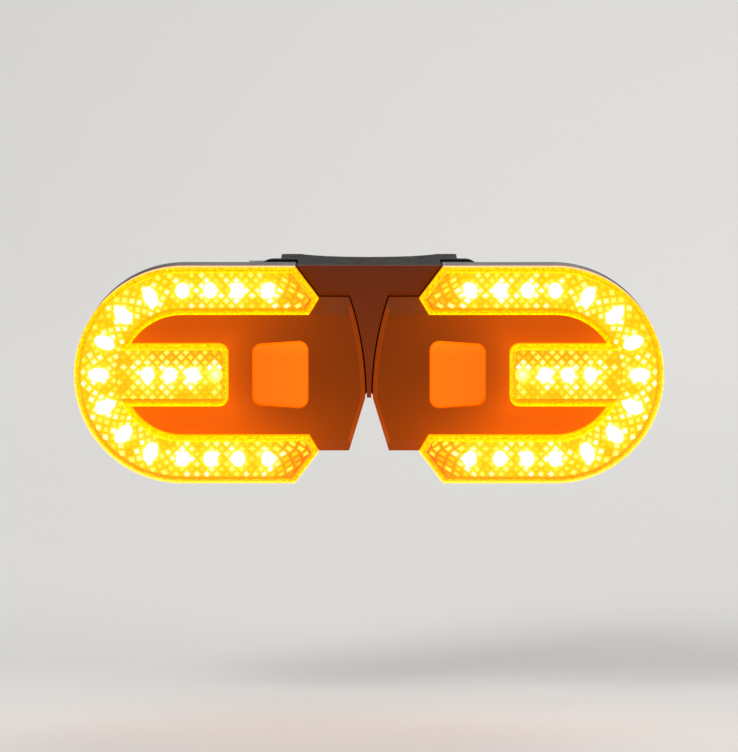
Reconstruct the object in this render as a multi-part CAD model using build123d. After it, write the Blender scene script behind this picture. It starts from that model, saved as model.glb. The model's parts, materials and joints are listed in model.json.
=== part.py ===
from build123d import *
import os

# A pair of bicycle turn signal lights on one seat-post bracket.
#
# The bracket has a rubber-lined saddle that a silicone strap pulls against the seat post. Its front
# carries two horizontal T-shaped rails and a spine that fills the space between the two lights. Each
# light slides onto its rail from the side. A light is a rear shell and a front shell screwed together
# round a seal, with a lens shaped like an E over a board of light-emitting diodes, a main board, a
# battery, a push button, a charging socket and the cover over that socket.
#
# Frame: millimetres, +Z up along the seat post, the lights face -Y, and +X is the right-hand light's
# side. The origin is on the post's axis at half the saddle's height. A depth is a distance in front of
# the post's axis, so it is measured along -Y. Outlines are drawn as (distance from the middle, height
# above the lights' centre line).

# The seat post and the saddle that is pulled against it
post_radius = 13.6
saddle_height = 24.0
saddle_reach = 5.5  # the saddle's ends stop this far in front of the post's axis
saddle_wall = 3.0
saddle_cheek = 2.5
saddle_corner = 1.2
pad_thickness = 1.5
pad_groove_width = 0.8
pad_groove_depth = 0.6
pad_groove_angle = 34.0

# The plate behind the lights, with its rails
plate_thickness = 3.0
plate_half_width = 21.0
plate_drop = 12.0  # the plate's two legs reach this far below the lights' centre line
plate_corner = 3.0
plate_notch_half = 5.0
rail_start = 3.2
rail_length = 14.8
rail_neck_half = 3.0
rail_neck_depth = 2.0
rail_head_half = 5.0
rail_head_depth = 1.8
rail_lead_in = 0.8

# The shoe on each light that takes the rail
dock_gap = 0.2
shoe_wall = 1.8
shoe_floor = 2.0
shoe_end = 2.0
shoe_corner = 1.5
shoe_screw_inset = 3.3
shoe_boss_height = 4.6
shoe_boss_skin = 0.8

# A light's outline, seen from the front
pod_half_height = 20.0
pod_length = 54.4  # from the middle of the pair to the round end
band_width = 8.8
tip_u = 9.3
tip_height_share = 0.66  # of the band's width, from its outer edge to the tip of an arm
tip_outer_step = 4.4  # the slants at an arm's end run this far outwards from its tip
tip_inner_step = 1.8
nose_u = 0.7
nose_z = -4.4
nose_shoulder_u = 3.7
bar_half_height = 5.75
bar_corner = 1.8

# A light's depths
shell_wall = 2.0
parting_gap = 1.5  # from the main board to where the shells part
base_depth = 2.7  # front shell, from the parting plane to the lens channel
face_rise = 2.3  # front shell, from the lens channel to the face
face_wall = 1.8
channel_floor = 1.4
rear_bevel = 1.2
shoulder_bevel_height = 2.2
shoulder_bevel_depth = 1.4
nose_bevel = 0.8
lens_rise = 2.6  # the lens stands this far proud of the face
lens_wall = 1.0
lens_front_wall = 1.6
lens_bevel = 1.3
fit_gap = 0.15  # between pieces that are pushed together
seat_gap = 0.05  # round a screw, a pin or a seal in its hole or groove

# The spine between the two lights
spine_gap = 0.3
spine_setback = 1.6  # behind the lights' faces
spine_bevel = 0.9
spine_wall = 2.0

# The strap, its pin and its peg
strap_thickness = 2.4
strap_half_height = 7.0
strap_gap = 0.2
strap_stand_off = 4.0  # from the saddle's side to the strap's pin and its peg
strap_anchor_reach = 9.0  # in front of the post's axis
strap_tab_length = 8.5
strap_tab_corner = 3.0
strap_loop_wall = 1.9
ridge_count = 3
ridge_pitch = 1.8
ridge_width = 0.8
ridge_height = 0.5
strap_pin_radius = 1.5
strap_pin_head_radius = 2.2
strap_pin_head = 0.8
ear_radius = 3.2
ear_thickness = 3.0
peg_neck_radius = 2.0
peg_head_radius = 3.2
peg_head_thickness = 1.4
peg_head_bevel = 0.5
peg_arm_half = 3.6
peg_arm_length = 6.0

# The light-emitting diodes
led_length = 2.2
led_width = 2.0
led_height = 0.7
led_board_thickness = 0.8
arm_led_spacing = 5.1  # from the bend towards the tip, as many as fit
arm_led_inset = 5.4
bend_led_count = 7
bar_led_spacing = 4.2  # from the bar's end towards the bend, as many as fit
bar_led_inset = 2.35
bar_led_stop = 4.65  # from the bar's last diode to the band, at least
led_fit_share = 0.02  # of a step: a diode so little past its limit still counts as fitting

# The push button and its switch
button_inner_u = 11.4
button_length = 10.0
button_margin = 5.0  # from the button's tallest side to the lens's arms
button_taper = 0.7
button_corner = 1.6
button_rise = 0.8
button_bevel = 0.5
button_gap = 0.2
button_flange = 1.0
button_flange_thickness = 0.8
button_travel = 0.5
button_to_bar = 4.6
switch_side = 6.0
switch_height = 2.5
switch_wall = 0.6
plunger_radius = 1.2
plunger_gap = 0.1

# The battery and the main board
battery_pad_thickness = 0.5
battery_thickness = 3.6
battery_setback = 1.5  # from the rail's outer end
battery_end_gap = 7.4  # from the light's round end
battery_corner = 1.0
rib_thickness = 0.8
rib_height = 2.6
board_gap = 0.4  # between the battery and the board
board_thickness = 1.0
board_setback = 0.7  # from the nose's shoulder
board_corner = 1.2
chip_height = 1.0
chip_sizes = [(5.0, 5.0), (3.0, 3.0), (4.0, 2.6), (3.2, 2.5)]
chip_place_shares = [(0.37, 0.5), (0.37, -0.5), (0.74, -0.6), (-0.26, -0.55)]  # from the pins
tab_thickness = 0.2
tab_width = 1.6
tab_run = 1.2
tab_first_z = 4.4
tab_pitch = 2.4
link_pin_side = 0.64
link_pin_pitch = 2.0
link_pin_count = 3

# The charging socket in the underside and its cover
socket_width = 8.94
socket_height = 3.26
socket_depth = 7.3
socket_corner = 1.5
socket_wall = 0.3
blade_width = 6.7
blade_thickness = 0.7
blade_setback = 2.4
port_block_margin = 2.4
port_block_wall = 2.0
tongue_gap = 0.2  # from the main board's tongue to the port's block
cover_length = 12.6
cover_height = 5.6
cover_thickness = 1.2
cover_plug_gap = 0.4
cover_plug_depth = 1.7
nail_notch_radius = 1.6
nail_notch_depth = 0.6
mouth_gap = 0.4

# Screws, pins and bosses
shell_screw_radius = 0.95
shell_screw_head_radius = 1.7
shell_screw_head = 1.1
shell_screw_sink = 1.6
boss_radius = 2.4
screw_gap = 0.15
nose_boss_inset = 3.7
nose_boss_back = 1.7
bend_boss_angle = 50.0
bend_boss_inset = 4.2
board_post_radius = 1.7
board_post_spacing = 1.7  # from the button's flange
board_post_clearance = 1.2  # from the shell's boss
board_screw_radius = 0.7
board_screw_head_radius = 1.4
board_screw_head = 0.8
board_screw_length = 3.0
locating_pin_inset = 3.5
locating_pin_radius = 0.8
seal_width = 0.8
seal_depth = 0.7
overrun = 1.0  # how far a cutting solid runs past what it cuts

# Places that follow from those sizes, across and up
bend_u = pod_length - pod_half_height
band_inner = pod_half_height - band_width
band_middle = pod_half_height - band_width / 2
tip_z = pod_half_height - band_width * tip_height_share
tip_outer_u = tip_u + tip_outer_step
tip_inner_u = tip_u + tip_inner_step
button_outer_u = button_inner_u + button_length
button_inner_half = band_inner - button_margin
button_outer_half = button_inner_half - button_taper
bar_start_u = button_outer_u + button_to_bar
arm_led_start = tip_outer_u + arm_led_inset
bar_led_start = bar_start_u + bar_led_inset
bar_led_end = bend_u + band_inner - bar_led_stop
lights_z = saddle_height / 2 - pod_half_height  # the lights' tops are level with the saddle's
pad_radius = post_radius + pad_thickness
saddle_half_width = (pad_radius**2 - saddle_reach**2) ** 0.5 + saddle_cheek
strap_anchor_x = saddle_half_width + strap_stand_off
nose_boss_u = tip_u - nose_boss_back
nose_boss_z = tip_z - nose_boss_inset
bend_boss_radius = pod_half_height - bend_boss_inset
bend_boss = Vector(bend_u, 0) + Vector(bend_boss_radius, 0).rotate(Axis.Z, bend_boss_angle)
board_post_u = button_inner_u - button_flange - board_post_spacing - board_post_radius
board_post_z = nose_boss_z - boss_radius - board_post_clearance - board_post_radius
board_start_u = nose_shoulder_u + board_setback
battery_start_u = rail_start + rail_length + battery_setback
battery_end_u = pod_length - battery_end_gap
battery_half_height = bend_boss.Y - boss_radius - rib_thickness - 2 * fit_gap
board_half_height = nose_boss_z - boss_radius - 2 * fit_gap
port_u = bend_u - cover_length / 2 - mouth_gap  # the cover ends where the underside starts to curve
cover_floor_z = cover_thickness - pod_half_height
mouth_z = cover_floor_z + mouth_gap
strap_middle = post_radius + strap_gap + strap_thickness / 2

# Depths that follow, from the post towards the front
plate_back = pad_radius + saddle_wall
plate_front = plate_back + plate_thickness
rail_neck_front = plate_front + rail_neck_depth
rail_front = rail_neck_front + rail_head_depth
slot_floor = rail_front + dock_gap
pod_back = slot_floor + shoe_floor
rear_floor = pod_back + shell_wall
battery_back = rear_floor + battery_pad_thickness
battery_front = battery_back + battery_thickness
board_back = battery_front + board_gap
board_front = board_back + board_thickness
parting = board_front + parting_gap
channel = parting + base_depth
channel_back = channel - channel_floor
face = channel + face_rise
face_back = face - face_wall
lens_front = face + lens_rise
led_board_front = channel + led_board_thickness
switch_front = board_front + switch_height
flange_back = face_back - button_flange_thickness
port_depth = board_back - socket_height / 2


# Ways of making a solid


def plate(outline, start, end):
    """A solid with an outline drawn from the front, between two depths."""
    return extrude(Plane.XZ.offset(start) * outline, end - start)


def rod(u, z, radius, start, end):
    """A round rod that runs from front to back, between two depths."""
    return plate(Pos(u, z) * Circle(radius), start, end)


def layer(outline, low, high):
    """A solid with an outline drawn from above, between two heights."""
    return extrude(Plane.XY.offset(low) * outline, high - low)


def under(outline, low, high):
    """A solid between two heights, its outline drawn from above about the charging port's centre."""
    port_plane = Plane(origin=(port_u, -port_depth, low), x_dir=(1, 0, 0), z_dir=(0, 0, 1))
    return extrude(port_plane * outline, high - low)


def closed(*lines):
    """The face inside a closed run of lines and arcs."""
    return make_face(Curve() + list(lines))


def grown(outline, amount):
    """An outline moved outwards by an amount, or inwards where the amount is negative."""
    return offset(outline, amount, kind=Kind.INTERSECTION) if amount else outline


def front_edges(solid):
    """The edges round a solid's foremost face."""
    return solid.faces().sort_by(Axis.Y)[0].edges()


def back_edges(solid):
    """The edges round a solid's rearmost face."""
    return solid.faces().sort_by(Axis.Y)[-1].edges()


def screw(u, z, start, head_radius, head, shank_radius, end):
    """A screw put in from behind, from its head's outer face to its tip."""
    return rod(u, z, head_radius, start, start + head) + rod(u, z, shank_radius, start + head, end)


def stepped(start, end, spacing):
    """Places from a start towards an end, one spacing apart, as many as fit."""
    steps = int(abs(end - start) / spacing + led_fit_share)
    way = 1 if end > start else -1
    return [start + way * spacing * n for n in range(steps + 1)]


def group(solids):
    """Separate solids that share one node."""
    return Compound(list(solids))


# Outlines of a light


def pod_outline():
    """A light: slanted shoulders and a blunt nose towards the middle, and a round outer end."""
    top = Polyline(
        (nose_shoulder_u, tip_z), (tip_u, tip_z), (tip_outer_u, pod_half_height), (bend_u, pod_half_height)
    )
    bend = ThreePointArc((bend_u, pod_half_height), (pod_length, 0), (bend_u, -pod_half_height))
    bottom = Polyline(
        (bend_u, -pod_half_height),
        (tip_outer_u, -pod_half_height),
        (tip_u, -tip_z),
        (nose_shoulder_u, -tip_z),
        (nose_u, nose_z),
    )
    nose = TangentArc((nose_u, nose_z), (nose_shoulder_u, tip_z), tangent=(0, 1))
    return closed(top, bend, bottom, nose)


def band_outline():
    """The lens's U-shaped band with its two arrow-shaped ends."""
    outer_bend = ThreePointArc((bend_u, pod_half_height), (pod_length, 0), (bend_u, -pod_half_height))
    low_arm = Polyline(
        (bend_u, -pod_half_height),
        (tip_outer_u, -pod_half_height),
        (tip_u, -tip_z),
        (tip_inner_u, -band_inner),
        (bend_u, -band_inner),
    )
    inner_bend = ThreePointArc((bend_u, -band_inner), (bend_u + band_inner, 0), (bend_u, band_inner))
    high_arm = Polyline(
        (bend_u, band_inner),
        (tip_inner_u, band_inner),
        (tip_u, tip_z),
        (tip_outer_u, pod_half_height),
        (bend_u, pod_half_height),
    )
    return closed(outer_bend, low_arm, inner_bend, high_arm)


def bar_outline(amount):
    """The lens's middle bar, grown by an amount, from its rounded end to halfway across the band."""
    start_u = bar_start_u - amount
    length = bend_u + band_middle - start_u
    bar = Pos(start_u + length / 2, 0) * Rectangle(length, 2 * (bar_half_height + amount))
    return fillet(bar.vertices().group_by(Axis.X)[0], bar_corner + amount)


def lens_outline(amount):
    """The band and the bar, which together look like an E, grown by an amount."""
    return grown(band_outline(), amount) + bar_outline(amount)


def island_outline():
    """The raised face of the front shell: the light's outline without the lens and the gap round it."""
    return pod_outline() - lens_outline(fit_gap)


def button_outline():
    """The button: a rounded trapezium, taller towards the middle of the pair."""
    sides = Polyline(
        (button_inner_u, button_inner_half),
        (button_outer_u, button_outer_half),
        (button_outer_u, -button_outer_half),
        (button_inner_u, -button_inner_half),
        close=True,
    )
    outline = closed(sides)
    return fillet(outline.vertices(), button_corner)


def socket_outline(amount):
    """The charging socket's rounded section about its own centre, grown by an amount."""
    return RectangleRounded(socket_width + 2 * amount, socket_height + 2 * amount, socket_corner + amount)


# Places that several pieces share


def shell_screw_places():
    """The four shell screws: two by the nose and two under the round end."""
    upper = [(nose_boss_u, nose_boss_z), (bend_boss.X, bend_boss.Y)]
    return [(u, side * z) for u, z in upper for side in (1, -1)]


def shell_screw_end(u):
    """The depth of a shell screw's tip, halfway into the front shell's skin."""
    skin_back, skin = (face_back, face_wall) if u < bar_start_u else (channel_back, channel_floor)
    return skin_back + skin / 2


def shoe_screw_places():
    """The two screws along the middle of the shoe."""
    return [rail_start + shoe_screw_inset, rail_start + rail_length - shoe_screw_inset]


def locating_pin_u():
    """The pin that holds the main board's outer end, just inside it."""
    return battery_end_u - locating_pin_inset


def link_pin_places():
    """The pins between the two boards, in a column between the bar's first two diodes."""
    middle = (link_pin_count - 1) / 2
    u = bar_led_start + bar_led_spacing / 2
    return [(u, (n - middle) * link_pin_pitch) for n in range(link_pin_count)]


def led_places():
    """(distance from the middle, height, turn in degrees) of each diode in the arms, the bend and the bar."""
    arm = stepped(bend_u, arm_led_start, arm_led_spacing)[::-1]
    places = [(u, side * band_middle, 0) for u in arm for side in (1, -1)]
    step = 180 / (bend_led_count + 1)
    for n in range(bend_led_count):
        turn = (n + 1) * step - 90
        spoke = Vector(band_middle, 0).rotate(Axis.Z, turn)
        places.append((bend_u + spoke.X, spoke.Y, turn + 90))
    return places + [(u, 0, 0) for u in stepped(bar_led_start, bar_led_end, bar_led_spacing)]


def cover_hinge():
    """The line that the charging cover turns about, at its end nearest the middle of the pair."""
    return port_u - (cover_length - cover_thickness) / 2, cover_thickness / 2 - pod_half_height


# A light's shells and lens, drawn for the right-hand side


def rear_shell():
    """The moulded tub: screw bosses, ribs beside the battery, a seal groove and the charging port's block."""
    outline = pod_outline()
    shell = plate(outline, pod_back, parting)
    shell = chamfer(back_edges(shell), rear_bevel)
    shell -= plate(grown(outline, -shell_wall), rear_floor, parting + overrun)
    shell += rear_ribs()
    shell += rear_port_block(outline)
    for u, z in shell_screw_places():
        shell += rod(u, z, boss_radius, rear_floor, parting)
    for u in shoe_screw_places():
        shell += rod(u, 0, boss_radius, rear_floor, pod_back + shoe_boss_height)
    shell -= rear_screw_holes()
    shell -= seal_ring(seat_gap)
    return shell - port_cuts()


def rear_ribs():
    """Two ribs that keep the battery in line, over the middle half of its length."""
    middle_u = (battery_start_u + battery_end_u) / 2
    rib_length = (battery_end_u - battery_start_u) / 2
    rib_z = battery_half_height + fit_gap + rib_thickness / 2
    ribs = [Pos(middle_u, side * rib_z) * Rectangle(rib_length, rib_thickness) for side in (1, -1)]
    return [plate(rib, rear_floor, rear_floor + rib_height) for rib in ribs]


def rear_port_block(outline):
    """The thicker stretch of wall round the charging port."""
    block_top = cover_floor_z + port_block_wall
    height = block_top + pod_half_height
    width = socket_width + 2 * port_block_margin
    block = Pos(port_u, block_top - height / 2) * Rectangle(width, height)
    return plate(block & outline, rear_floor, parting)


def rear_screw_holes():
    """Stepped holes for the shell screws, and blind ones for the shoe's."""
    holes = []
    head_bottom = pod_back + shell_screw_sink + shell_screw_head
    for u, z in shell_screw_places():
        holes.append(rod(u, z, shell_screw_radius + screw_gap, pod_back - overrun, parting + overrun))
        holes.append(rod(u, z, shell_screw_head_radius + screw_gap, pod_back - overrun, head_bottom))
    for u in shoe_screw_places():
        hole_end = pod_back + shoe_boss_height - shoe_boss_skin
        holes.append(rod(u, 0, shell_screw_radius + seat_gap, pod_back - overrun, hole_end))
    return holes


def seal_ring(gap):
    """The seal in the rear shell's rim, or with a gap the groove that it lies in."""
    outline = pod_outline()
    outer = (shell_wall - seal_width) / 2 - gap
    inner = (shell_wall + seal_width) / 2 + gap
    return plate(grown(outline, -outer) - grown(outline, -inner), parting - seal_depth, parting)


def port_cuts():
    """The cover's recess, the socket's slot and the notch for a thumbnail."""
    low = -pod_half_height - overrun
    recess = Rectangle(cover_length + 2 * fit_gap, cover_height + 2 * fit_gap)
    notch = Pos(cover_length / 2, 0) * Circle(nail_notch_radius)
    return [
        under(recess, low, cover_floor_z),
        under(socket_outline(fit_gap), low, cover_floor_z + port_block_wall + overrun),
        under(notch, low, nail_notch_depth - pod_half_height),
    ]


def front_shell():
    """The moulded front: a lens channel round a raised face, a button opening and the main board's posts."""
    outline = pod_outline()
    shell = plate(outline, parting, channel) + raised_face()
    hollow = grown(outline, -shell_wall)
    shell -= plate(hollow, parting - overrun, channel_back)
    face_hollow = grown(island_outline(), -face_wall) & hollow
    shell -= plate(face_hollow, parting - overrun, face_back)
    shell -= plate(grown(button_outline(), button_gap), face_back - overrun, face + overrun)
    for u, z in shell_screw_places():
        skin_back = face_back if u < bar_start_u else channel_back
        shell += rod(u, z, boss_radius, parting, skin_back)
        shell -= rod(u, z, shell_screw_radius + seat_gap, parting - overrun, shell_screw_end(u) + seat_gap)
    shell += board_posts()
    pins_u, pins_top = link_pin_places()[-1]
    slot_half = link_pin_side / 2 + screw_gap
    slot = Pos(pins_u, 0) * Rectangle(slot_half * 2, (pins_top + slot_half) * 2)
    return shell - plate(slot, channel_back - overrun, channel + overrun)


def raised_face():
    """The face between the lens's arms, bevelled along its shoulders and thinly down its nose."""
    island = plate(island_outline(), parting, face)
    shoulders = front_edges(island).filter_by(is_shoulder)
    face_plane = island.faces().sort_by(Axis.Y)[0]
    island = chamfer(shoulders, shoulder_bevel_height, shoulder_bevel_depth, reference=face_plane)
    nose = front_edges(island).filter_by(lambda edge: edge.center().X < nose_shoulder_u)
    return chamfer(nose, nose_bevel)


def is_shoulder(edge):
    """Whether an edge is one of the two straight ones along the top and the bottom of the nose."""
    centre = edge.center()
    return abs(abs(centre.Z) - tip_z) < seat_gap and centre.X < tip_u


def board_posts():
    """The two screw posts at the main board's inner end and the locating pin at its outer end."""
    posts = []
    for side in (1, -1):
        post = rod(board_post_u, side * board_post_z, board_post_radius, board_front, face_back)
        pilot_end = board_back + board_screw_length + seat_gap
        pilot = rod(board_post_u, side * board_post_z, board_screw_radius + seat_gap, board_back, pilot_end)
        posts.append(post - pilot)
    shoulder = rod(locating_pin_u(), 0, board_post_radius, board_front, channel_back)
    return posts + [shoulder + rod(locating_pin_u(), 0, locating_pin_radius, board_back, channel_back)]


def lens():
    """The amber lens: one moulding, bevelled round its front and hollow over the diodes."""
    band = plate(band_outline(), channel, lens_front)
    bar = plate(bar_outline(0), channel, lens_front)
    solid = chamfer(front_edges(band), lens_bevel) + chamfer(front_edges(bar), lens_bevel)
    return solid - plate(lens_outline(-lens_wall), channel - overrun, lens_front - lens_front_wall)


# What the shells hold


def led_board():
    """The white board inside the lens."""
    return plate(lens_outline(-lens_wall - fit_gap), channel, led_board_front)


def led_chips():
    """One package for each diode, turned to follow the band."""
    package = Rectangle(led_length, led_width)
    places = [Pos(u, z) * Rot(0, 0, turn) for u, z, turn in led_places()]
    return group(plate(place * package, led_board_front, led_board_front + led_height) for place in places)


def button():
    """The button's cap, with the flange that keeps it behind the face."""
    cap = plate(button_outline(), flange_back, face + button_rise)
    cap = chamfer(front_edges(cap), button_bevel)
    return cap + plate(grown(button_outline(), button_flange), flange_back, face_back)


def switch_centre():
    """The switch sits behind the middle of the button."""
    return (button_inner_u + button_outer_u) / 2


def switch_body():
    """The switch on the main board, bored for its plunger."""
    middle_u = switch_centre()
    body = plate(Pos(middle_u, 0) * Rectangle(switch_side, switch_side), board_front, switch_front)
    bore = plunger_radius + plunger_gap
    return body - rod(middle_u, 0, bore, board_front + switch_wall, switch_front + overrun)


def switch_plunger():
    """The plunger between the switch and the button, with room below it for the button's travel."""
    inner_end = board_front + switch_wall + button_travel + plunger_gap
    return rod(switch_centre(), 0, plunger_radius, inner_end, flange_back)


def battery_outline(inset):
    """The flat cell's outline, moved in by an inset."""
    length = battery_end_u - battery_start_u - 2 * inset
    middle_u = (battery_start_u + battery_end_u) / 2
    return Pos(middle_u, 0) * RectangleRounded(length, 2 * (battery_half_height - inset), battery_corner)


def battery():
    """The flat cell behind the main board."""
    return plate(battery_outline(0), battery_back, battery_front)


def battery_pad():
    """The foam pad that the cell is stuck down with."""
    return plate(battery_outline(battery_corner), rear_floor, battery_back)


def battery_tabs():
    """The two metal tabs, which run out of the cell's end and turn up to the back of the main board."""
    middle = (battery_back + battery_front) / 2
    inner_u = battery_start_u - tab_run
    outline = Polyline(
        (battery_start_u, -middle),
        (inner_u, -middle),
        (inner_u, -board_back),
        (inner_u + tab_thickness, -board_back),
        (inner_u + tab_thickness, -middle - tab_thickness),
        (battery_start_u, -middle - tab_thickness),
        close=True,
    )
    places = [tab_first_z, tab_first_z + tab_pitch]
    return group(layer(closed(outline), z, z + tab_width) for z in places)


def main_board():
    """The main board: a long plate with a tongue that reaches under the charging socket."""
    length = battery_end_u - board_start_u
    middle_u = board_start_u + length / 2
    outline = Pos(middle_u, 0) * RectangleRounded(length, board_half_height * 2, board_corner)
    tongue_low = cover_floor_z + port_block_wall + tongue_gap
    tongue = Pos(port_u, tongue_low / 2) * Rectangle(socket_width + 2 * fit_gap, -tongue_low)
    board = plate(outline + tongue, board_back, board_front)
    for side in (1, -1):
        hole = board_screw_radius + screw_gap
        board -= rod(board_post_u, side * board_post_z, hole, board_back - overrun, board_front + overrun)
    hole = locating_pin_radius + seat_gap
    return board - rod(locating_pin_u(), 0, hole, board_back - overrun, board_front + overrun)


def board_chips():
    """The controller, the charger, the radio and the driver on the front of the main board."""
    pins_u = link_pin_places()[0][0]
    length = battery_end_u - pins_u
    chips = []
    for (width, height), (length_share, height_share) in zip(chip_sizes, chip_place_shares):
        place = Pos(pins_u + length * length_share, board_half_height * height_share)
        chips.append(plate(place * Rectangle(width, height), board_front, board_front + chip_height))
    return group(chips)


def board_pins():
    """The square pins that join the main board to the board of diodes."""
    pin = Rectangle(link_pin_side, link_pin_side)
    return group(plate(Pos(u, z) * pin, board_front, channel) for u, z in link_pin_places())


def usb_socket():
    """The metal charging socket with the blade inside it."""
    back_z = mouth_z + socket_depth
    socket = under(socket_outline(0), mouth_z, back_z)
    socket -= under(socket_outline(-socket_wall), mouth_z - overrun, back_z - socket_wall)
    blade = Rectangle(blade_width, blade_thickness)
    return socket + under(blade, mouth_z + blade_setback, back_z)


def usb_cover():
    """The soft cover: a flap flush in its recess, a plug that enters the socket and a round hinge end."""
    hinge_u, hinge_z = cover_hinge()
    flap_length = cover_length - cover_thickness / 2
    flap = Pos(cover_thickness / 4, 0) * Rectangle(flap_length, cover_height)
    cover = under(flap, -pod_half_height, cover_floor_z)
    plug = socket_outline(-socket_wall - cover_plug_gap)
    cover += under(plug, -pod_half_height, cover_floor_z + cover_plug_depth)
    half = cover_height / 2
    return cover + rod(hinge_u, hinge_z, cover_thickness / 2, port_depth - half, port_depth + half)


def shell_screws():
    """The screws that hold the two shells together."""
    start = pod_back + shell_screw_sink
    return group(
        screw(u, z, start, shell_screw_head_radius, shell_screw_head, shell_screw_radius, shell_screw_end(u))
        for u, z in shell_screw_places()
    )


def board_screws():
    """The screws that hold the main board to its posts."""
    start = board_back - board_screw_head
    end = board_back + board_screw_length
    return group(
        screw(board_post_u, z, start, board_screw_head_radius, board_screw_head, board_screw_radius, end)
        for z in (board_post_z, -board_post_z)
    )


def dock_shoe():
    """The block on the light's back whose T-shaped slot takes the rail. It is closed at its outer end."""
    half_height = rail_head_half + dock_gap + shoe_wall
    length = rail_length + dock_gap + shoe_end
    body = Pos(rail_start + length / 2, 0) * RectangleRounded(length, half_height * 2, shoe_corner)
    shoe = plate(body, plate_front + dock_gap, pod_back)
    slot_length = rail_length + dock_gap + overrun
    slot_place = Pos(rail_start - overrun + slot_length / 2, 0)
    neck = slot_place * Rectangle(slot_length, 2 * (rail_neck_half + dock_gap))
    head = slot_place * Rectangle(slot_length, 2 * (rail_head_half + dock_gap))
    shoe -= plate(neck, plate_front, slot_floor)
    shoe -= plate(head, rail_neck_front - dock_gap, slot_floor)
    head_bottom = slot_floor + shell_screw_head
    for u in shoe_screw_places():
        shoe -= rod(u, 0, shell_screw_radius + screw_gap, slot_floor, pod_back + overrun)
        shoe -= rod(u, 0, shell_screw_head_radius + screw_gap, slot_floor, head_bottom)
    return shoe


def shoe_screws():
    """The sunk screws that hold the shoe to the rear shell."""
    end = pod_back + shoe_boss_height - shoe_boss_skin - fit_gap
    return group(
        screw(u, 0, slot_floor, shell_screw_head_radius, shell_screw_head, shell_screw_radius, end)
        for u in shoe_screw_places()
    )


# The bracket


def strap_anchor(side):
    """Where the strap's middle line meets its pin or its peg, seen from above."""
    return Vector(side * strap_anchor_x, -strap_anchor_reach)


def strap_touch():
    """Where the strap's middle line leaves its circle round the post, on the right-hand side."""
    anchor = strap_anchor(1)
    lean = Vector(strap_middle, 0).rotate(Axis.Z, tangent_angle(strap_middle, anchor.length))
    return lean.rotate(Axis.Z, -Vector(anchor.X, -anchor.Y).get_angle(Vector(1, 0)))


def tangent_angle(radius, distance):
    """The angle at a circle's centre between a point outside and where its tangent touches the circle."""
    opposite = (distance**2 - radius**2) ** 0.5
    return Vector(radius, opposite).get_angle(Vector(1, 0))


def strap_direction():
    """The way that the strap's right-hand straight runs, from the post to the peg."""
    return (strap_anchor(1) - strap_touch()).normalized()


def strap_normal():
    """Outwards from the strap's right-hand straight, along the peg."""
    return strap_direction().rotate(Axis.Z, 90)


def strap_outline():
    """The strap from above: round the back of the post, a straight on each side and a tab past the peg."""
    touch, normal = strap_touch(), strap_normal()
    half = normal * (strap_thickness / 2)
    tab_end = strap_anchor(1) + strap_direction() * strap_tab_length
    outer, inner = touch + half, touch - half
    pin = strap_anchor(-1)
    pin_half = Vector(-half.X, half.Y)
    back_outer = (0, strap_middle + strap_thickness / 2)
    back_inner = (0, strap_middle - strap_thickness / 2)
    return closed(
        Polyline(outer, tab_end + half, tab_end - half, inner),
        ThreePointArc(inner, back_inner, (-inner.X, inner.Y)),
        Polyline((-inner.X, inner.Y), pin - pin_half, pin + pin_half, (-outer.X, outer.Y)),
        ThreePointArc((-outer.X, outer.Y), back_outer, outer),
    )


def peg_plane():
    """A plane at the middle of the strap where the peg goes through it, facing outwards along the peg."""
    anchor = strap_anchor(1)
    return Plane(origin=(anchor.X, anchor.Y, 0), x_dir=strap_direction(), z_dir=strap_normal())


def post_strap():
    """The silicone strap: a loop round its pin, a hole for the peg and a ridged pull tab."""
    strap = layer(strap_outline(), -strap_half_height, strap_half_height)
    pin = strap_anchor(-1)
    bore = strap_pin_radius + strap_gap / 2
    loop = Pos(pin.X, pin.Y) * Circle(bore + strap_loop_wall)
    strap += layer(loop, -strap_half_height, strap_half_height)
    cut_height = strap_half_height + overrun
    strap -= layer(Pos(pin.X, pin.Y) * Circle(bore), -cut_height, cut_height)
    across = strap.edges().filter_by(Axis((0, 0, 0), strap_normal()))
    strap = fillet(across.sort_by(Axis((0, 0, 0), strap_direction()))[-2:], strap_tab_corner)
    peg_hole = extrude(Circle(peg_neck_radius + strap_gap / 2), strap_thickness * 2)
    strap -= peg_plane().offset(-strap_thickness) * peg_hole
    return strap + strap_ridges()


def strap_ridges():
    """The ridges across the pull tab's outer side."""
    start = strap_tab_length - ridge_pitch * (ridge_count - 1 / 2)
    face_plane = peg_plane().offset(strap_thickness / 2)
    width = 2 * (strap_half_height - strap_tab_corner)
    ridges = [Pos(start + n * ridge_pitch, 0) * Rectangle(ridge_width, width) for n in range(ridge_count)]
    return [extrude(face_plane * ridge, ridge_height) for ridge in ridges]


def ear_start():
    """The height at which the bracket's ears start, just past the strap."""
    return strap_half_height + strap_gap


def strap_pin():
    """The steel pin that the strap turns on, with a flat head above the upper ear."""
    pin = strap_anchor(-1)
    end = ear_start() + ear_thickness
    solid = layer(Pos(pin.X, pin.Y) * Circle(strap_pin_radius), -end, end)
    return solid + layer(Pos(pin.X, pin.Y) * Circle(strap_pin_head_radius), end, end + strap_pin_head)


def saddle_pad():
    """The rubber lining between the saddle and the post, with upright grooves for grip."""
    ring = Circle(pad_radius - seat_gap) - Circle(post_radius)
    ring &= Pos(0, -saddle_reach - pad_radius / 2) * Rectangle(pad_radius * 2, pad_radius)
    for turn in (-pad_groove_angle, 0, pad_groove_angle):
        place = Rot(0, 0, turn) * Pos(0, -post_radius)
        ring -= place * Rectangle(pad_groove_width, pad_groove_depth * 2)
    return layer(ring, -saddle_height / 2, saddle_height / 2)


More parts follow.
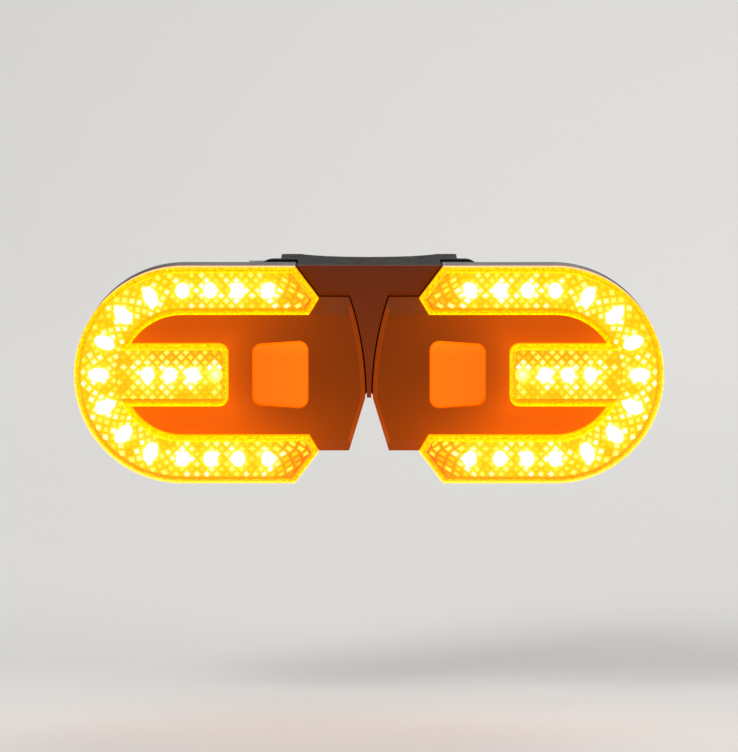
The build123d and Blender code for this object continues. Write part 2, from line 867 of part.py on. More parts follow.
def saddle():
    """The block behind the plate that holds the pad, with the strap pin's ears and the peg's arm."""
    depth = plate_back - saddle_reach
    block = Pos(0, -saddle_reach - depth / 2) * Rectangle(saddle_half_width * 2, depth)
    block = fillet(block.vertices().group_by(Axis.Y)[-1], saddle_corner)
    body = layer(block, -saddle_height / 2, saddle_height / 2)
    arm = Rectangle(peg_arm_half * 2, peg_arm_half * 2)
    arm_start = -strap_thickness / 2 - strap_gap
    body += extrude(peg_plane().offset(arm_start) * arm, -peg_arm_length)
    for low in (ear_start(), -ear_start() - ear_thickness):
        body += layer(ear_outline(), low, low + ear_thickness)
    body -= layer(Circle(pad_radius), -saddle_height, saddle_height)
    pin = strap_anchor(-1)
    hole = Pos(pin.X, pin.Y) * Circle(strap_pin_radius + seat_gap)
    return body - layer(hole, -saddle_height, saddle_height)


def ear_outline():
    """One ear from above: a round end on the pin and a web back to the saddle's cheek."""
    pin = strap_anchor(-1)
    web_length = strap_stand_off + saddle_cheek / 2
    web = Pos(pin.X + web_length / 2, pin.Y) * Rectangle(web_length, ear_radius * 2)
    return web + Pos(pin.X, pin.Y) * Circle(ear_radius)


def strap_peg():
    """The round peg with a wide head that holds the strap's free end."""
    neck_start = -strap_thickness / 2 - strap_gap
    head_start = strap_thickness / 2 + strap_gap
    peg = extrude(peg_plane().offset(neck_start) * Circle(peg_neck_radius), head_start - neck_start)
    head = extrude(peg_plane().offset(head_start) * Circle(peg_head_radius), peg_head_thickness)
    outer_rim = head.edges().sort_by(Axis((0, 0, 0), strap_normal()))[-1]
    return peg + chamfer(outer_rim, peg_head_bevel)


def back_plate():
    """The plate behind the lights, cut to a V between them below the spine."""
    height = pod_half_height + plate_drop
    middle_z = (pod_half_height - plate_drop) / 2
    outline = Pos(0, middle_z) * RectangleRounded(plate_half_width * 2, height, plate_corner)
    notch = Polyline(
        (0, nose_z),
        (plate_notch_half, -plate_drop - overrun),
        (-plate_notch_half, -plate_drop - overrun),
        close=True,
    )
    return plate(outline - closed(notch), plate_back, plate_front)


def rails():
    """A T-shaped rail for each light, with its outer end tapered to lead the shoe on."""
    length = rail_length
    pieces = []
    for side in (1, -1):
        place = Pos(side * (rail_start + length / 2), 0)
        neck = plate(place * Rectangle(length, rail_neck_half * 2), plate_front, rail_neck_front)
        head = plate(place * Rectangle(length, rail_head_half * 2), rail_neck_front, rail_front)
        tip = head.faces().sort_by(Axis.X)[-1 if side > 0 else 0]
        pieces.append(neck + chamfer(tip.edges().filter_by(Axis.Y), rail_lead_in))
    return pieces


def spine():
    """The T-shaped block that fills the space above and between the noses of the two lights."""
    room = grown(pod_outline(), spine_gap)
    height = pod_half_height - nose_z
    half_width = tip_outer_u
    outline = Pos(0, nose_z + height / 2) * Rectangle(half_width * 2, height)
    outline = outline - room - mirror(room, about=Plane.YZ)
    front = face - spine_setback
    solid = plate(outline, plate_front, front)
    head_edges = front_edges(solid).filter_by(lambda edge: edge.center().Z > tip_z)
    solid = chamfer(head_edges, spine_bevel)
    for side in (1, -1):
        middle_u = (nose_shoulder_u + tip_u) / 2
        pocket_width = tip_u - nose_shoulder_u
        pocket_height = pod_half_height - tip_z - spine_wall
        pocket = Pos(side * middle_u, tip_z + pocket_height / 2) * Rectangle(pocket_width, pocket_height)
        solid -= plate(pocket, plate_front + spine_wall, front - spine_wall)
    return solid


def bracket_frame():
    """The moulded bracket in one piece: saddle, plate, rails, spine and peg."""
    front = back_plate() + spine()
    for rail in rails():
        front += rail
    return saddle() + strap_peg() + Pos(0, 0, lights_z) * front


# Putting the pieces in their places


def light_pieces():
    """The pieces of one light, drawn for the right-hand side about the lights' centre line."""
    return {
        "rear_shell": rear_shell(),
        "front_shell": front_shell(),
        "lens": lens(),
        "led_board": led_board(),
        "led_chips": led_chips(),
        "main_board": main_board(),
        "board_chips": board_chips(),
        "board_pins": board_pins(),
        "battery": battery(),
        "battery_pad": battery_pad(),
        "battery_tabs": battery_tabs(),
        "button": button(),
        "switch_body": switch_body(),
        "switch_plunger": switch_plunger(),
        "usb_socket": usb_socket(),
        "usb_cover": usb_cover(),
        "shell_seal": seal_ring(0),
        "shell_screws": shell_screws(),
        "board_screws": board_screws(),
        "dock_shoe": dock_shoe(),
        "shoe_screws": shoe_screws(),
    }


def all_pieces():
    """Every node of the part by name."""
    pieces = {
        "bracket_frame": bracket_frame(),
        "saddle_pad": saddle_pad(),
        "post_strap": post_strap(),
        "strap_pin": strap_pin(),
    }
    for name, piece in light_pieces().items():
        placed = Pos(0, 0, lights_z) * piece
        pieces["right_" + name] = placed
        pieces["left_" + name] = mirror(placed, about=Plane.YZ)
    return pieces


os.makedirs("parts", exist_ok=True)
for name, piece in all_pieces().items():
    export_step(piece, f"parts/{name}.step")
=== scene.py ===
# %% [markdown]
# # A pair of turn signal lights
#
# The object is two mirror-image lights on one bracket. Each has an amber lens shaped like an E, lit from
# behind by small diodes, and a lit button in its dark face. The CAD model gives every solid its place and
# size. Blender adds what the solids leave out: the fine prisms in the lenses, soft edges on the silicone
# and rubber pieces, the screws' drives and threads, and every surface finish.
#
# The first cell opens the CAD model.

# %% Open the CAD model
import json
import math
import bpy
import numpy as np
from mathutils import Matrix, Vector


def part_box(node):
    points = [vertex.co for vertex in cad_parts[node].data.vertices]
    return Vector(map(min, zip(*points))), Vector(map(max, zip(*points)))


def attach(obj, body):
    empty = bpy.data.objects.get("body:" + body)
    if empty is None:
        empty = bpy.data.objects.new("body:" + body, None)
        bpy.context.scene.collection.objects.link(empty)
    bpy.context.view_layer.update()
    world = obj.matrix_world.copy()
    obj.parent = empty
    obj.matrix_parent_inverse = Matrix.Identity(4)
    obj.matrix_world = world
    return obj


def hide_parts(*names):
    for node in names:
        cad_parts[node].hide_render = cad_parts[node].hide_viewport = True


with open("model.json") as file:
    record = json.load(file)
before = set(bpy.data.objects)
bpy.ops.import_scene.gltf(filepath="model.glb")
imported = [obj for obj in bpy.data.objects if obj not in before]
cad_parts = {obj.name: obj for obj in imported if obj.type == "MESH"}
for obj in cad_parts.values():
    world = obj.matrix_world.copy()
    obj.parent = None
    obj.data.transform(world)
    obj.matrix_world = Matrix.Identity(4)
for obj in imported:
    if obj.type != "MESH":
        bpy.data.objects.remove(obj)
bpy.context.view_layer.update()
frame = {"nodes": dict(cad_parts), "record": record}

nodes = frame["nodes"]

# %% [markdown]
# ## Sizes
#
# The object's sizes are written in millimetres and turned into metres once, where a mesh is made. The
# main places come from the boxes of the CAD nodes. What a box can't tell, such as the width of the lens's
# band, is named here.
#
# A place on a light has three numbers: u is the distance from the middle of the pair, v is the height
# above the lights' centre line, and depth is the distance in front of the clamp's axis.

# %% Sizes from the frame
MM = 0.001
SIDES = {"right": 1, "left": -1}


def box_mm(node):
    """Lowest and highest corner of a CAD node, in millimetres."""
    low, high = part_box(node)
    return np.array(low) / MM, np.array(high) / MM


def depths(node):
    """Depths of a CAD node's back and front, in millimetres."""
    low, high = box_mm(node)
    return -high[1], -low[1]


lens_low, lens_high = box_mm("right_lens")
LENS_BACK, LENS_FRONT = depths("right_lens")
CHIP_FRONT = depths("right_led_chips")[1]
POD_END = lens_high[0]
POD_HALF = (lens_high[2] - lens_low[2]) / 2
LIGHTS_Z = (lens_high[2] + lens_low[2]) / 2
BEND_U = POD_END - POD_HALF
TIP_U = lens_low[0]
print("light's end", POD_END, "half height", POD_HALF, "lens depths", LENS_BACK, LENS_FRONT)

# %% Sizes of the lens that its box can't tell
BAND_WIDTH = 8.8
BAND_MIDDLE = POD_HALF - BAND_WIDTH / 2
BAND_INNER = POD_HALF - BAND_WIDTH
TIP_SHARE = 0.66
TIP_V = POD_HALF - TIP_SHARE * BAND_WIDTH
TIP_OUTER_STEP = 4.4
TIP_INNER_STEP = 1.8
BAR_START = 26.0
BAR_HALF = 5.75
LENS_WALL = 1.0
print("band's middle line", BAND_MIDDLE, "above the centre line, an arm's tip", TIP_V)

# %% [markdown]
# ## Shapes from arrays
#
# Blender can build a mesh by hand, with modifiers, or from numbers. Numbers suit this object, because its
# pieces follow outlines that are already known. A piece is then an array of points and a list of faces.
# The helpers here make the faces between rows of points, close a stack of rings, put several shapes
# together, and write the mesh, mirrored for the left-hand light.

# %% Mesh helpers


def grid_faces(rows, columns, closed=True):
    """Faces between neighbouring rows of a grid of points. With closed, each row is a ring."""
    across = columns if closed else columns - 1
    row, column = np.meshgrid(np.arange(rows - 1), np.arange(across), indexing="ij")
    following = (column + 1) % columns
    here, there = row * columns, (row + 1) * columns
    quads = np.stack([here + column, here + following, there + following, there + column], axis=-1)
    return quads.reshape(-1, 4).tolist()


def tube(rings):
    """A closed surface through rings of points, shape (rings, points, 3), with a flat face at either end."""
    count, around = rings.shape[:2]
    faces = grid_faces(count, around)
    faces.append(list(range(around))[::-1])
    faces.append(list(range((count - 1) * around, count * around)))
    return rings.reshape(-1, 3), faces


def together(parts):
    """Several (points, faces) pairs as one, with the later faces counted on from the earlier points."""
    points, faces, start = [], [], 0
    for part_points, part_faces in parts:
        points.append(part_points)
        faces += [[start + corner for corner in face] for face in part_faces]
        start += len(part_points)
    return np.concatenate(points), faces


print("two rings of 8 points make", len(tube(np.zeros((2, 8, 3)))[1]), "faces")

# %% Writing a piece


def make_piece(name, shape, material, body, sign=1, crease=40, replaces=()):
    """Writes a piece whose points are (x, y, z) in millimetres, on the body that it rides on. A sign of -1
    mirrors it to the left-hand side, and edges that turn by more than crease degrees stay sharp."""
    points, faces = shape
    mesh = bpy.data.meshes.new(name)
    if sign < 0:
        faces = [face[::-1] for face in faces]
    mesh.from_pydata((points * [sign, 1, 1] * MM).tolist(), [], faces)
    mesh.update()
    mesh.shade_smooth()
    mesh.set_sharp_from_angle(angle=math.radians(crease))
    mesh.materials.append(material)
    piece = bpy.data.objects.new(name, mesh)
    bpy.context.scene.collection.objects.link(piece)
    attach(piece, body)
    if replaces:
        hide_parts(*replaces)
    print(name, len(mesh.polygons), "faces")
    return piece


def make_pair(name, shape, material, body, crease, replaced=None):
    """One piece for each light. The name, the body and the CAD node that it replaces start with the side."""
    pieces = []
    for side, sign in SIDES.items():
        stands_for = [f"{side}_{replaced}"] if replaced else ()
        full_name, rides_on = f"{side}_{name}", f"{side}_{body}"
        pieces.append(make_piece(full_name, shape, material, rides_on, sign, crease, stands_for))
    return pieces


def light_place(u, v, depth):
    """Points on the right-hand light as (x, y, z) in millimetres, from arrays of u, v and depth."""
    u, v, depth = np.broadcast_arrays(u, v, depth)
    return np.stack([u, -depth, v + LIGHTS_Z], axis=-1).astype(float)


print("the lens's bend starts at", light_place(BEND_U, 0.0, LENS_FRONT).round(2))

# %% [markdown]
# Most soft pieces start from a rounded outline. A Bevel modifier could round a finished mesh, but an
# outline with its arcs already in it gives even rows of faces. The next helper takes the corners of a
# polygon and swaps each for an arc. An arc's centre lies on the line that halves the corner, and its
# points are turned evenly from the direction of one side's normal to the other's.

# %% Outline helpers


def rounded(corners, radius, steps):
    """A closed outline with every corner turned into an arc of one radius."""
    corners = np.array(corners, float)
    back = np.roll(corners, 1, axis=0) - corners
    ahead = np.roll(corners, -1, axis=0) - corners
    back /= np.linalg.norm(back, axis=1, keepdims=True)
    ahead /= np.linalg.norm(ahead, axis=1, keepdims=True)
    half = np.arccos(np.clip((back * ahead).sum(axis=1), -1, 1)) / 2
    middle = back + ahead
    middle /= np.linalg.norm(middle, axis=1, keepdims=True)
    centre = corners + middle * (radius / np.sin(half))[:, None]
    run = (radius / np.tan(half))[:, None]
    first = corners + back * run - centre
    last = corners + ahead * run - centre
    cross = first[:, 0] * last[:, 1] - first[:, 1] * last[:, 0]
    turn = np.arctan2(cross, (first * last).sum(axis=1))[:, None] * np.linspace(0, 1, steps + 1)
    cosine, sine = np.cos(turn), np.sin(turn)
    x = centre[:, :1] + first[:, :1] * cosine - first[:, 1:] * sine
    y = centre[:, 1:] + first[:, :1] * sine + first[:, 1:] * cosine
    return np.stack([x, y], axis=-1).reshape(-1, 2)


def inset(outline, amount):
    """A closed outline, listed anticlockwise, moved inwards along its own normals."""
    along = np.roll(outline, -1, axis=0) - np.roll(outline, 1, axis=0)
    along /= np.linalg.norm(along, axis=1, keepdims=True)
    return outline + np.stack([-along[:, 1], along[:, 0]], axis=1) * amount


def rectangle(width, height, radius, steps=5):
    """A rounded rectangle about the origin, listed anticlockwise."""
    corners = np.array([(-1, -1), (1, -1), (1, 1), (-1, 1)]) * [width / 2, height / 2]
    return rounded(corners, radius, steps)


print("a rounded rectangle has", len(rectangle(2.0, 1.0, 0.2)), "points")

# %% [markdown]
# ## Finishes
#
# Each finish starts from the real material. Colours are written as on a screen, and one function turns
# them into linear light. Another adds a node with its settings and its links. It takes a node where a
# value could stand, and then uses the first of that node's outputs that is switched on.
#
# A moulded, cast or plated surface is never quite even. It could be painted on an image, but noise needs
# no unwrapping and keeps its real size on every piece. So a finish may have two colours, two roughnesses
# or bumps, each with the size of the patches that they make.

# %% Material helpers


def linear(hex_colour):
    """A screen colour such as #ff8000 as linear red, green, blue and an alpha of 1."""
    values = np.array([int(hex_colour[n:n + 2], 16) for n in (1, 3, 5)]) / 255
    curve = np.where(values <= 0.04045, values / 12.92, ((values + 0.055) / 1.055) ** 2.4)
    return [*curve.tolist(), 1.0]


def live(sockets, name=None):
    """The first socket that a node's settings leave switched on, or the first of one name."""
    return next(socket for socket in sockets if socket.enabled and name in (None, socket.name))


def add(tree, kind, inputs=(), into=None, **settings):
    """Adds a node. Settings are its own properties. Inputs are values, sockets or nodes, as a list in the
    node's order or as a dict by name. Into is a socket that the new node is linked on to."""
    made = tree.nodes.new("ShaderNode" + kind)
    for name, value in settings.items():
        setattr(made, name, value)
    named = isinstance(inputs, dict)
    for key, value in inputs.items() if named else enumerate(inputs):
        socket = live(made.inputs, key) if named else made.inputs[key]
        if isinstance(value, bpy.types.Node):
            value = live(value.outputs)
        if isinstance(value, bpy.types.NodeSocket):
            tree.links.new(value, socket)
        else:
            socket.default_value = value
    if into is not None:
        tree.links.new(live(made.outputs), into)
    return made


print("#ff8000 in linear light:", np.round(linear("#ff8000"), 3))

# %% Making a finish
NOISE_LOW, NOISE_HIGH = 0.3, 0.7


def patches(tree, size_mm, low, high, detail=2.0, into=None):
    """Noise whose patches are about size_mm across, spread between two values, on Object coordinates. Nearly
    all of Blender's noise lies between NOISE_LOW and NOISE_HIGH, so that part is stretched."""
    place = add(tree, "TexCoord").outputs["Object"]
    noise = add(tree, "TexNoise", {"Vector": place, "Scale": 1 / (size_mm * MM), "Detail": detail})
    return add(tree, "MapRange", [noise, NOISE_LOW, NOISE_HIGH, low, high], into)


def new_finish(name, colour=None, roughness=0.5, bumps=None, **constants):
    """A material on one shader, which holds the constants. Colour is one screen colour, or two and the size
    of their patches. Roughness is a value, or the lowest, the highest and a size. Bumps are a depth, a size
    and the noise's detail. Sizes are in millimetres. Returns (material, tree, shader)."""
    material = bpy.data.materials.new(name)
    material.use_nodes = True
    tree = material.node_tree
    shader = tree.nodes["Principled BSDF"]
    for socket, value in constants.items():
        shader.inputs[socket.replace("_", " ")].default_value = value
    if isinstance(colour, tuple):
        first, second, size_mm = colour
        tones = {"Factor": patches(tree, size_mm, 0.0, 1.0), "A": linear(first), "B": linear(second)}
        add(tree, "Mix", tones, shader.inputs["Base Color"], data_type="RGBA")
    elif colour:
        shader.inputs["Base Color"].default_value = linear(colour)
    if isinstance(roughness, tuple):
        low, high, size_mm = roughness
        patches(tree, size_mm, low, high, into=shader.inputs["Roughness"])
    else:
        shader.inputs["Roughness"].default_value = roughness
    if bumps:
        depth_mm, size_mm, detail = bumps
        height = patches(tree, size_mm, 0.0, 1.0, detail)
        add(tree, "Bump", {"Height": height, "Distance": depth_mm * MM}, shader.inputs["Normal"])
    print("finish:", name)
    return material, tree, shader


def dress(material, *names):
    """Puts a finish on CAD nodes, with right_ and left_ in front of a name where the node has a side."""
    for name in names:
        full_names = [name] if name in nodes else [f"{side}_{name}" for side in SIDES]
        for full_name in full_names:
            for material_slot in nodes[full_name].material_slots:
                material_slot.material = material


print("noise from", NOISE_LOW, "to", NOISE_HIGH, "is stretched to a finish's range")

# %% [markdown]
# The rear shells and the shoes are moulded in black ABS. The mould is spark-eroded, which leaves a fine
# even grain, so the plastic looks dull and soft to the eye. The real grain is about 0.2 mm across and a
# few hundredths deep. It is drawn at 0.45 mm so that it shows at all.

# %% Grained black ABS
GRAIN_MM = 0.45
grained_abs = new_finish(
    "black ABS, moulded with a spark-eroded grain",
    ("#141417", "#232327", GRAIN_MM), (0.46, 0.6, 6.0), (0.05, GRAIN_MM, 4.0), IOR=1.54,
)[0]
dress(grained_abs, "rear_shell", "dock_shoe")

# %% [markdown]
# ## The lenses' light on dark plastic
#
# The bracket's front and the lights' faces lie between lit lenses, so they take on their colour. The
# renderer could work that out from the lenses alone, but real lamps this small outshine a studio by far,
# and the exported model carries no light. So the warmth is painted, as a weak glow on the dark finishes.
# It is worked out from the distance to the lit band and to the lit bar, and it dies out behind the lens.

# %% Distances in a material
FAR = 100.0


def light_coordinates(tree):
    """u, v and depth in millimetres as nodes, from Object coordinates. They are the same on both lights."""
    place = add(tree, "SeparateXYZ", [add(tree, "TexCoord").outputs["Object"]])
    side = add(tree, "Math", [place.outputs["X"]], operation="ABSOLUTE")
    u = add(tree, "Math", [side, 1 / MM], operation="MULTIPLY")
    v = add(tree, "Math", [place.outputs["Z"], 1 / MM, -LIGHTS_Z], operation="MULTIPLY_ADD")
    depth = add(tree, "Math", [place.outputs["Y"], -1 / MM], operation="MULTIPLY")
    return u, v, depth


def past(tree, value, limit, way=1):
    """How far a value is past a limit, and zero before it. With a way of -1, past means below."""
    return add(tree, "MapRange", [value, limit, limit + way * FAR, 0.0, FAR])


def straight(tree, across, up):
    """The length of the slant that a step across and a step up make together."""
    return add(tree, "VectorMath", [add(tree, "CombineXYZ", [across, up])], operation="LENGTH")


def fade(tree, distance, reach):
    """e to the power of minus distance over reach: 1 at no distance, and about a third at the reach."""
    scaled = add(tree, "Math", [distance, -1 / reach], operation="MULTIPLY")
    return add(tree, "Math", [scaled], operation="EXPONENT")


def product(tree, *factors):
    """Any number of values multiplied, two at a time."""
    total = factors[0]
    for factor in factors[1:]:
        total = add(tree, "Math", [total, factor], operation="MULTIPLY")
    return total


print("distances are measured up to", FAR, "mm")

# %% The glow of the lenses
SPILL_COLOUR = (1.0, 0.125, 0.0, 1.0)
NOSE_SHARE = 0.3
NOSE_RUN_END = BEND_U - 4.0
LOW_SHARE, TOP_SHARE = 1.35, 0.6
GLOW_DEPTH = 4.0


def lens_glow(tree, floor, band, bar, reach):
    """A floor, plus band times a fade with the distance from the lit band, plus bar times a fade with the
    distance from the lit bar. The band's part is weaker by the noses. All of it is stronger below than
    above, as in the photograph, and it ends GLOW_DEPTH behind the lens."""
    u, v, depth = light_coordinates(tree)
    from_centre = straight(tree, past(tree, u, BEND_U), v)
    off_middle = add(tree, "Math", [from_centre, BAND_MIDDLE], operation="SUBTRACT")
    off_middle = add(tree, "Math", [off_middle], operation="ABSOLUTE")
    before_tip = past(tree, u, TIP_U + TIP_INNER_STEP, -1)
    from_band = straight(tree, past(tree, off_middle, BAND_WIDTH / 2), before_tip)
    height = add(tree, "Math", [v], operation="ABSOLUTE")
    from_bar = straight(tree, past(tree, u, BAR_START, -1), past(tree, height, BAR_HALF))
    band_share = add(tree, "MapRange", [u, TIP_U, NOSE_RUN_END, NOSE_SHARE * band, band])
    bar_light = add(tree, "Math", [fade(tree, from_bar, reach), bar, floor], operation="MULTIPLY_ADD")
    near_band = fade(tree, from_band, reach)
    light = add(tree, "Math", [near_band, band_share, bar_light], operation="MULTIPLY_ADD")
    lean = add(tree, "MapRange", [v, -POD_HALF, POD_HALF, LOW_SHARE, TOP_SHARE])
    front = add(tree, "MapRange", [depth, LENS_BACK - GLOW_DEPTH, LENS_BACK])
    return product(tree, light, lean, front)


print("the lenses' glow ends at a depth of", round(LENS_BACK - GLOW_DEPTH, 1), "mm")

# %% [markdown]
# The bracket is moulded in black nylon filled with short glass fibres. Some fibres lie near the surface, so
# the eye sees faint streaks along the flow and a duller surface than on the lights. Stretched noise draws
# them: real fibres are some hundredths of a millimetre thick, and the streaks that they leave are drawn at
# half a millimetre. The lenses' light on the bracket is painted, as a glow and as a warm tint in its
# reflections.

# %% Glass-filled nylon
STREAK_MM = 0.5
STREAK_STRETCH = 4.0
STREAK_DEPTH_MM = 0.03
# The warm specular tint is a painted reflection of the lenses' light.
nylon, tree, shader = new_finish(
    "black nylon, moulded with glass fibre", None, (0.65, 0.8, 3.0),
    IOR=1.53, Specular_IOR_Level=0.1, Specular_Tint=(1.0, 0.7, 0.5, 1.0), Emission_Color=SPILL_COLOUR,
)
place = add(tree, "TexCoord").outputs["Object"]
flow = add(tree, "Mapping", {"Vector": place, "Scale": (1 / STREAK_STRETCH, 1.0, 1.0)})
fibre = {"Vector": flow, "Scale": 1 / (STREAK_MM * MM), "Detail": 5.0, "Roughness": 0.65}
fibre_noise = add(tree, "TexNoise", fibre)
streaks = add(tree, "MapRange", [fibre_noise, 0.35, 0.7])
tones = {"Factor": streaks, "A": linear("#100f0f"), "B": linear("#171616")}
add(tree, "Mix", tones, shader.inputs["Base Color"], data_type="RGBA")
add(tree, "Bump", {"Height": fibre_noise, "Distance": STREAK_DEPTH_MM * MM}, shader.inputs["Normal"])
# The emission is the lenses' painted glow on the bracket.
glow = lens_glow(tree, floor=0.2, band=0.05, bar=0.0, reach=6.0)
tree.links.new(live(glow.outputs), shader.inputs["Emission Strength"])
dress(nylon, "bracket_frame")

# %% [markdown]
# The front shells are satin ABS, smoother than the rear ones, so that the face reads as a finished surface.
# The lenses' light on them is painted, as a glow: near the lens the plastic glows orange, and by the nose a
# dark red brown. Its base colours are brown-black rather than neutral, and its reflections are tinted
# orange, a painted share of the same light. Slanted edges get a painted highlight, so they are brighter than
# flat faces. The part of the surface's normal that points forwards tells them apart, and height tells the
# upper shoulder, where the painted glow gets painted shade and the base colour is lighter.

# %% Satin black ABS
BEVEL_SHINE = 0.45
SHOULDER_SHADE = -0.22
SHOULDER_BLUR = 0.1


def turned_forwards(tree):
    """How much the surface points forwards: 1 on a face, about 0.7 on a bevel and 0 on a side."""
    normal = add(tree, "SeparateXYZ", [add(tree, "TexCoord").outputs["Normal"]])
    return add(tree, "Math", [normal.outputs["Y"]], operation="ABSOLUTE")


# The orange specular tint is a painted reflection of the lenses' light.
satin_abs, tree, shader = new_finish(
    "black ABS, moulded with a satin surface", None, (0.34, 0.44, 5.0), (0.012, 0.4, 3.0),
    IOR=1.54, Specular_Tint=(1.0, 0.3, 0.05, 1.0), Emission_Color=SPILL_COLOUR,
)
forwards = turned_forwards(tree)
# The bevels get a painted highlight in the painted glow.
bevel = add(tree, "MapRange", [forwards, 0.8, 0.72, 0.0, BEVEL_SHINE])
not_side = add(tree, "MapRange", [forwards, 0.3, 0.6])
height = light_coordinates(tree)[1]
# Above the band's inner edge the painted glow gets painted shade and the base colour is lighter. Both base
# colours are brown-black, a painted share of the lenses' warmth.
shoulder = add(tree, "MapRange", [height, BAND_INNER - SHOULDER_BLUR, BAND_INNER + SHOULDER_BLUR])
tones = {"Factor": shoulder, "A": linear("#140d08"), "B": linear("#261d16")}
add(tree, "Mix", tones, shader.inputs["Base Color"], data_type="RGBA")
lit_edges = add(tree, "Math", [bevel, not_side, 1.0], operation="MULTIPLY_ADD")
shade = add(tree, "Math", [shoulder, SHOULDER_SHADE, lit_edges], operation="MULTIPLY_ADD")
glow = product(tree, lens_glow(tree, floor=0.2, band=0.45, bar=0.55, reach=5.5), shade)
tree.links.new(live(glow.outputs), shader.inputs["Emission Strength"])
dress(satin_abs, "front_shell")

# %% [markdown]
# The lens is one moulding of clear amber polycarbonate, polished in the mould. It could be made as glass
# that bends light, but then the prisms behind it would blur and the exported model would lose them. Alpha
# keeps them sharp. It is low on the front and high on the walls, because a line of sight along a wall
# passes through more plastic. To the eye the lens is deep amber from the side and clear from the front.
#
# Light also runs along inside the moulding and leaves where the surface bends away. So the bevel and the
# walls glow and the flat front doesn't. The glow starts a little below the bevel's top and grows on the way
# down, and it is weaker on the walls. Fine specks in it stand for the prisms that show through the bevel.

# %% Amber polycarbonate
LENS_ALPHA = 0.35
LENS_PASS = (1 - LENS_ALPHA) ** 2
WALL_ALPHA = 0.85
RIM_GLOW = 1.6
WALL_GLOW = 0.6
RIM_SPECK_MM = 0.55
RIM_TOP, RIM_FULL, RIM_LOW = LENS_FRONT - 0.1, LENS_FRONT - 0.35, LENS_FRONT - 0.9
amber, tree, shader = new_finish(
    "amber polycarbonate, polished in the mould", "#e06400", 0.08,
    Alpha=LENS_ALPHA, IOR=1.58, Specular_IOR_Level=0.3, Emission_Color=(1.0, 0.43, 0.0, 1.0),
)
forwards = turned_forwards(tree)
depth = light_coordinates(tree)[2]
wall = add(tree, "MapRange", [forwards, 0.6, 0.3])
density = add(tree, "MapRange", [wall, 0.0, 1.0, LENS_ALPHA, WALL_ALPHA], shader.inputs["Alpha"])
edge = add(tree, "MapRange", [forwards, 0.95, 0.75, 0.0, RIM_GLOW])
below_top = add(tree, "MapRange", [depth, RIM_TOP, RIM_FULL])
far_below = add(tree, "MapRange", [depth, RIM_FULL, RIM_LOW, 0.6, 1.0])
specks = patches(tree, RIM_SPECK_MM, 0.62, 1.3, 1.0)
wall_share = add(tree, "MapRange", [wall, 0.0, 1.0, 1.0, WALL_GLOW])
glow = product(tree, edge, below_top, far_below, specks, wall_share)
add(tree, "Math", [glow, density], shader.inputs["Emission Strength"], operation="DIVIDE")
dress(amber, "lens")

# %% [markdown]
# ## The prisms and the light that they carry
#
# Behind the lens's smooth front is a sheet of small prisms that spreads the diodes' light. Each is a
# pyramid on a diamond-shaped foot with its point cut off, and the rows are staggered like tiles. A bump
# map could draw them, but each has its own brightness and shows at a slant too, so they are real shapes.
# Over each diode is a smooth dome, the brightest spot of all.
#
# The band is bent, so the prisms are laid out on a flat strip first: s runs along the band from its
# middle and t runs across it. One function then bends the strip into place. Near the arms' ends it also
# leans the rows, so that they run along the slanted edges.

# %% Sizes of the prisms
PRISM_WIDTH = 1.85
BAND_PRISM_HALF = 0.95
BAR_PRISM_HALF = 0.93
BAND_ROWS = 7
BAR_ROWS = 10
PRISM_TOP_SHARE = 0.5
PRISM_RISE = 0.45
SHEET_HALF = 3.35
CHIP_GAP = 0.15
SHEET_THICKNESS = 0.4
SHEET_BACK = CHIP_FRONT + CHIP_GAP
SHEET_FRONT = SHEET_BACK + SHEET_THICKNESS
SHEET_GAP = 0.2
END_MARGIN = 1.5
ARM_END = TIP_U + 2.2
QUARTER = math.pi / 2
ARC_HALF = QUARTER * BAND_MIDDLE
ARM_RUN = BEND_U - ARM_END - END_MARGIN
STRIP_HALF = ARC_HALF + ARM_RUN
print("the band's strip is", round(2 * STRIP_HALF, 1), "mm long")

# %% The strip's bend


def arm_end(t):
    """The distance from the middle at which an arm ends: two straight slants that meet at the arm's tip."""
    tip_t = TIP_V - BAND_MIDDLE
    outer = (t - tip_t) / (BAND_WIDTH / 2 - tip_t) * TIP_OUTER_STEP
    inner = (tip_t - t) / (BAND_WIDTH / 2 + tip_t) * TIP_INNER_STEP
    return TIP_U + np.where(t > tip_t, outer, inner)


def band_place(s, t):
    """Bends the strip. On the arc, s is an angle times the band's radius. On an arm it is a length, and the
    last half of the arm leans over, more and more, to the slant of its end."""
    turn = np.clip(s / BAND_MIDDLE, -QUARTER, QUARTER)
    along = np.maximum(np.abs(s) - ARC_HALF, 0.0)
    share = np.clip(along / ARM_RUN * 2 - 1, 0, 1)
    lean = (arm_end(t) - ARM_END) * share * share * (3 - 2 * share)
    u = BEND_U + (BAND_MIDDLE + t) * np.cos(turn) - along + lean
    return u, (BAND_MIDDLE + t) * np.sin(turn)


print("the strip's upper end, u and v:", *np.round(band_place(STRIP_HALF, 0.0), 1))

# %% Where the diodes are
ARM_DIODES = 4
BEND_DIODES = 7
BAR_DIODES = 4
FIRST_BAR_POWER = 0.7
ARM_END_GAP, BAR_START_GAP, BAR_END_GAP = 5.4, 2.35, 4.65
arm_diode_u = np.linspace(BEND_U, TIP_U + TIP_OUTER_STEP + ARM_END_GAP, ARM_DIODES)
bar_diode_u = np.linspace(BAR_START + BAR_START_GAP, BEND_U + BAND_INNER - BAR_END_GAP, BAR_DIODES)
arm_s = ARC_HALF + BEND_U - arm_diode_u
bend_s = np.linspace(-ARC_HALF, ARC_HALF, BEND_DIODES + 2)[1:-1]
diode_s = np.concatenate([-arm_s, bend_s, arm_s])
band_diodes = np.stack(band_place(diode_s, np.zeros_like(diode_s)), axis=-1)
bar_diodes = np.stack([bar_diode_u, np.zeros(BAR_DIODES)], axis=-1)
diodes = np.concatenate([band_diodes, bar_diodes])
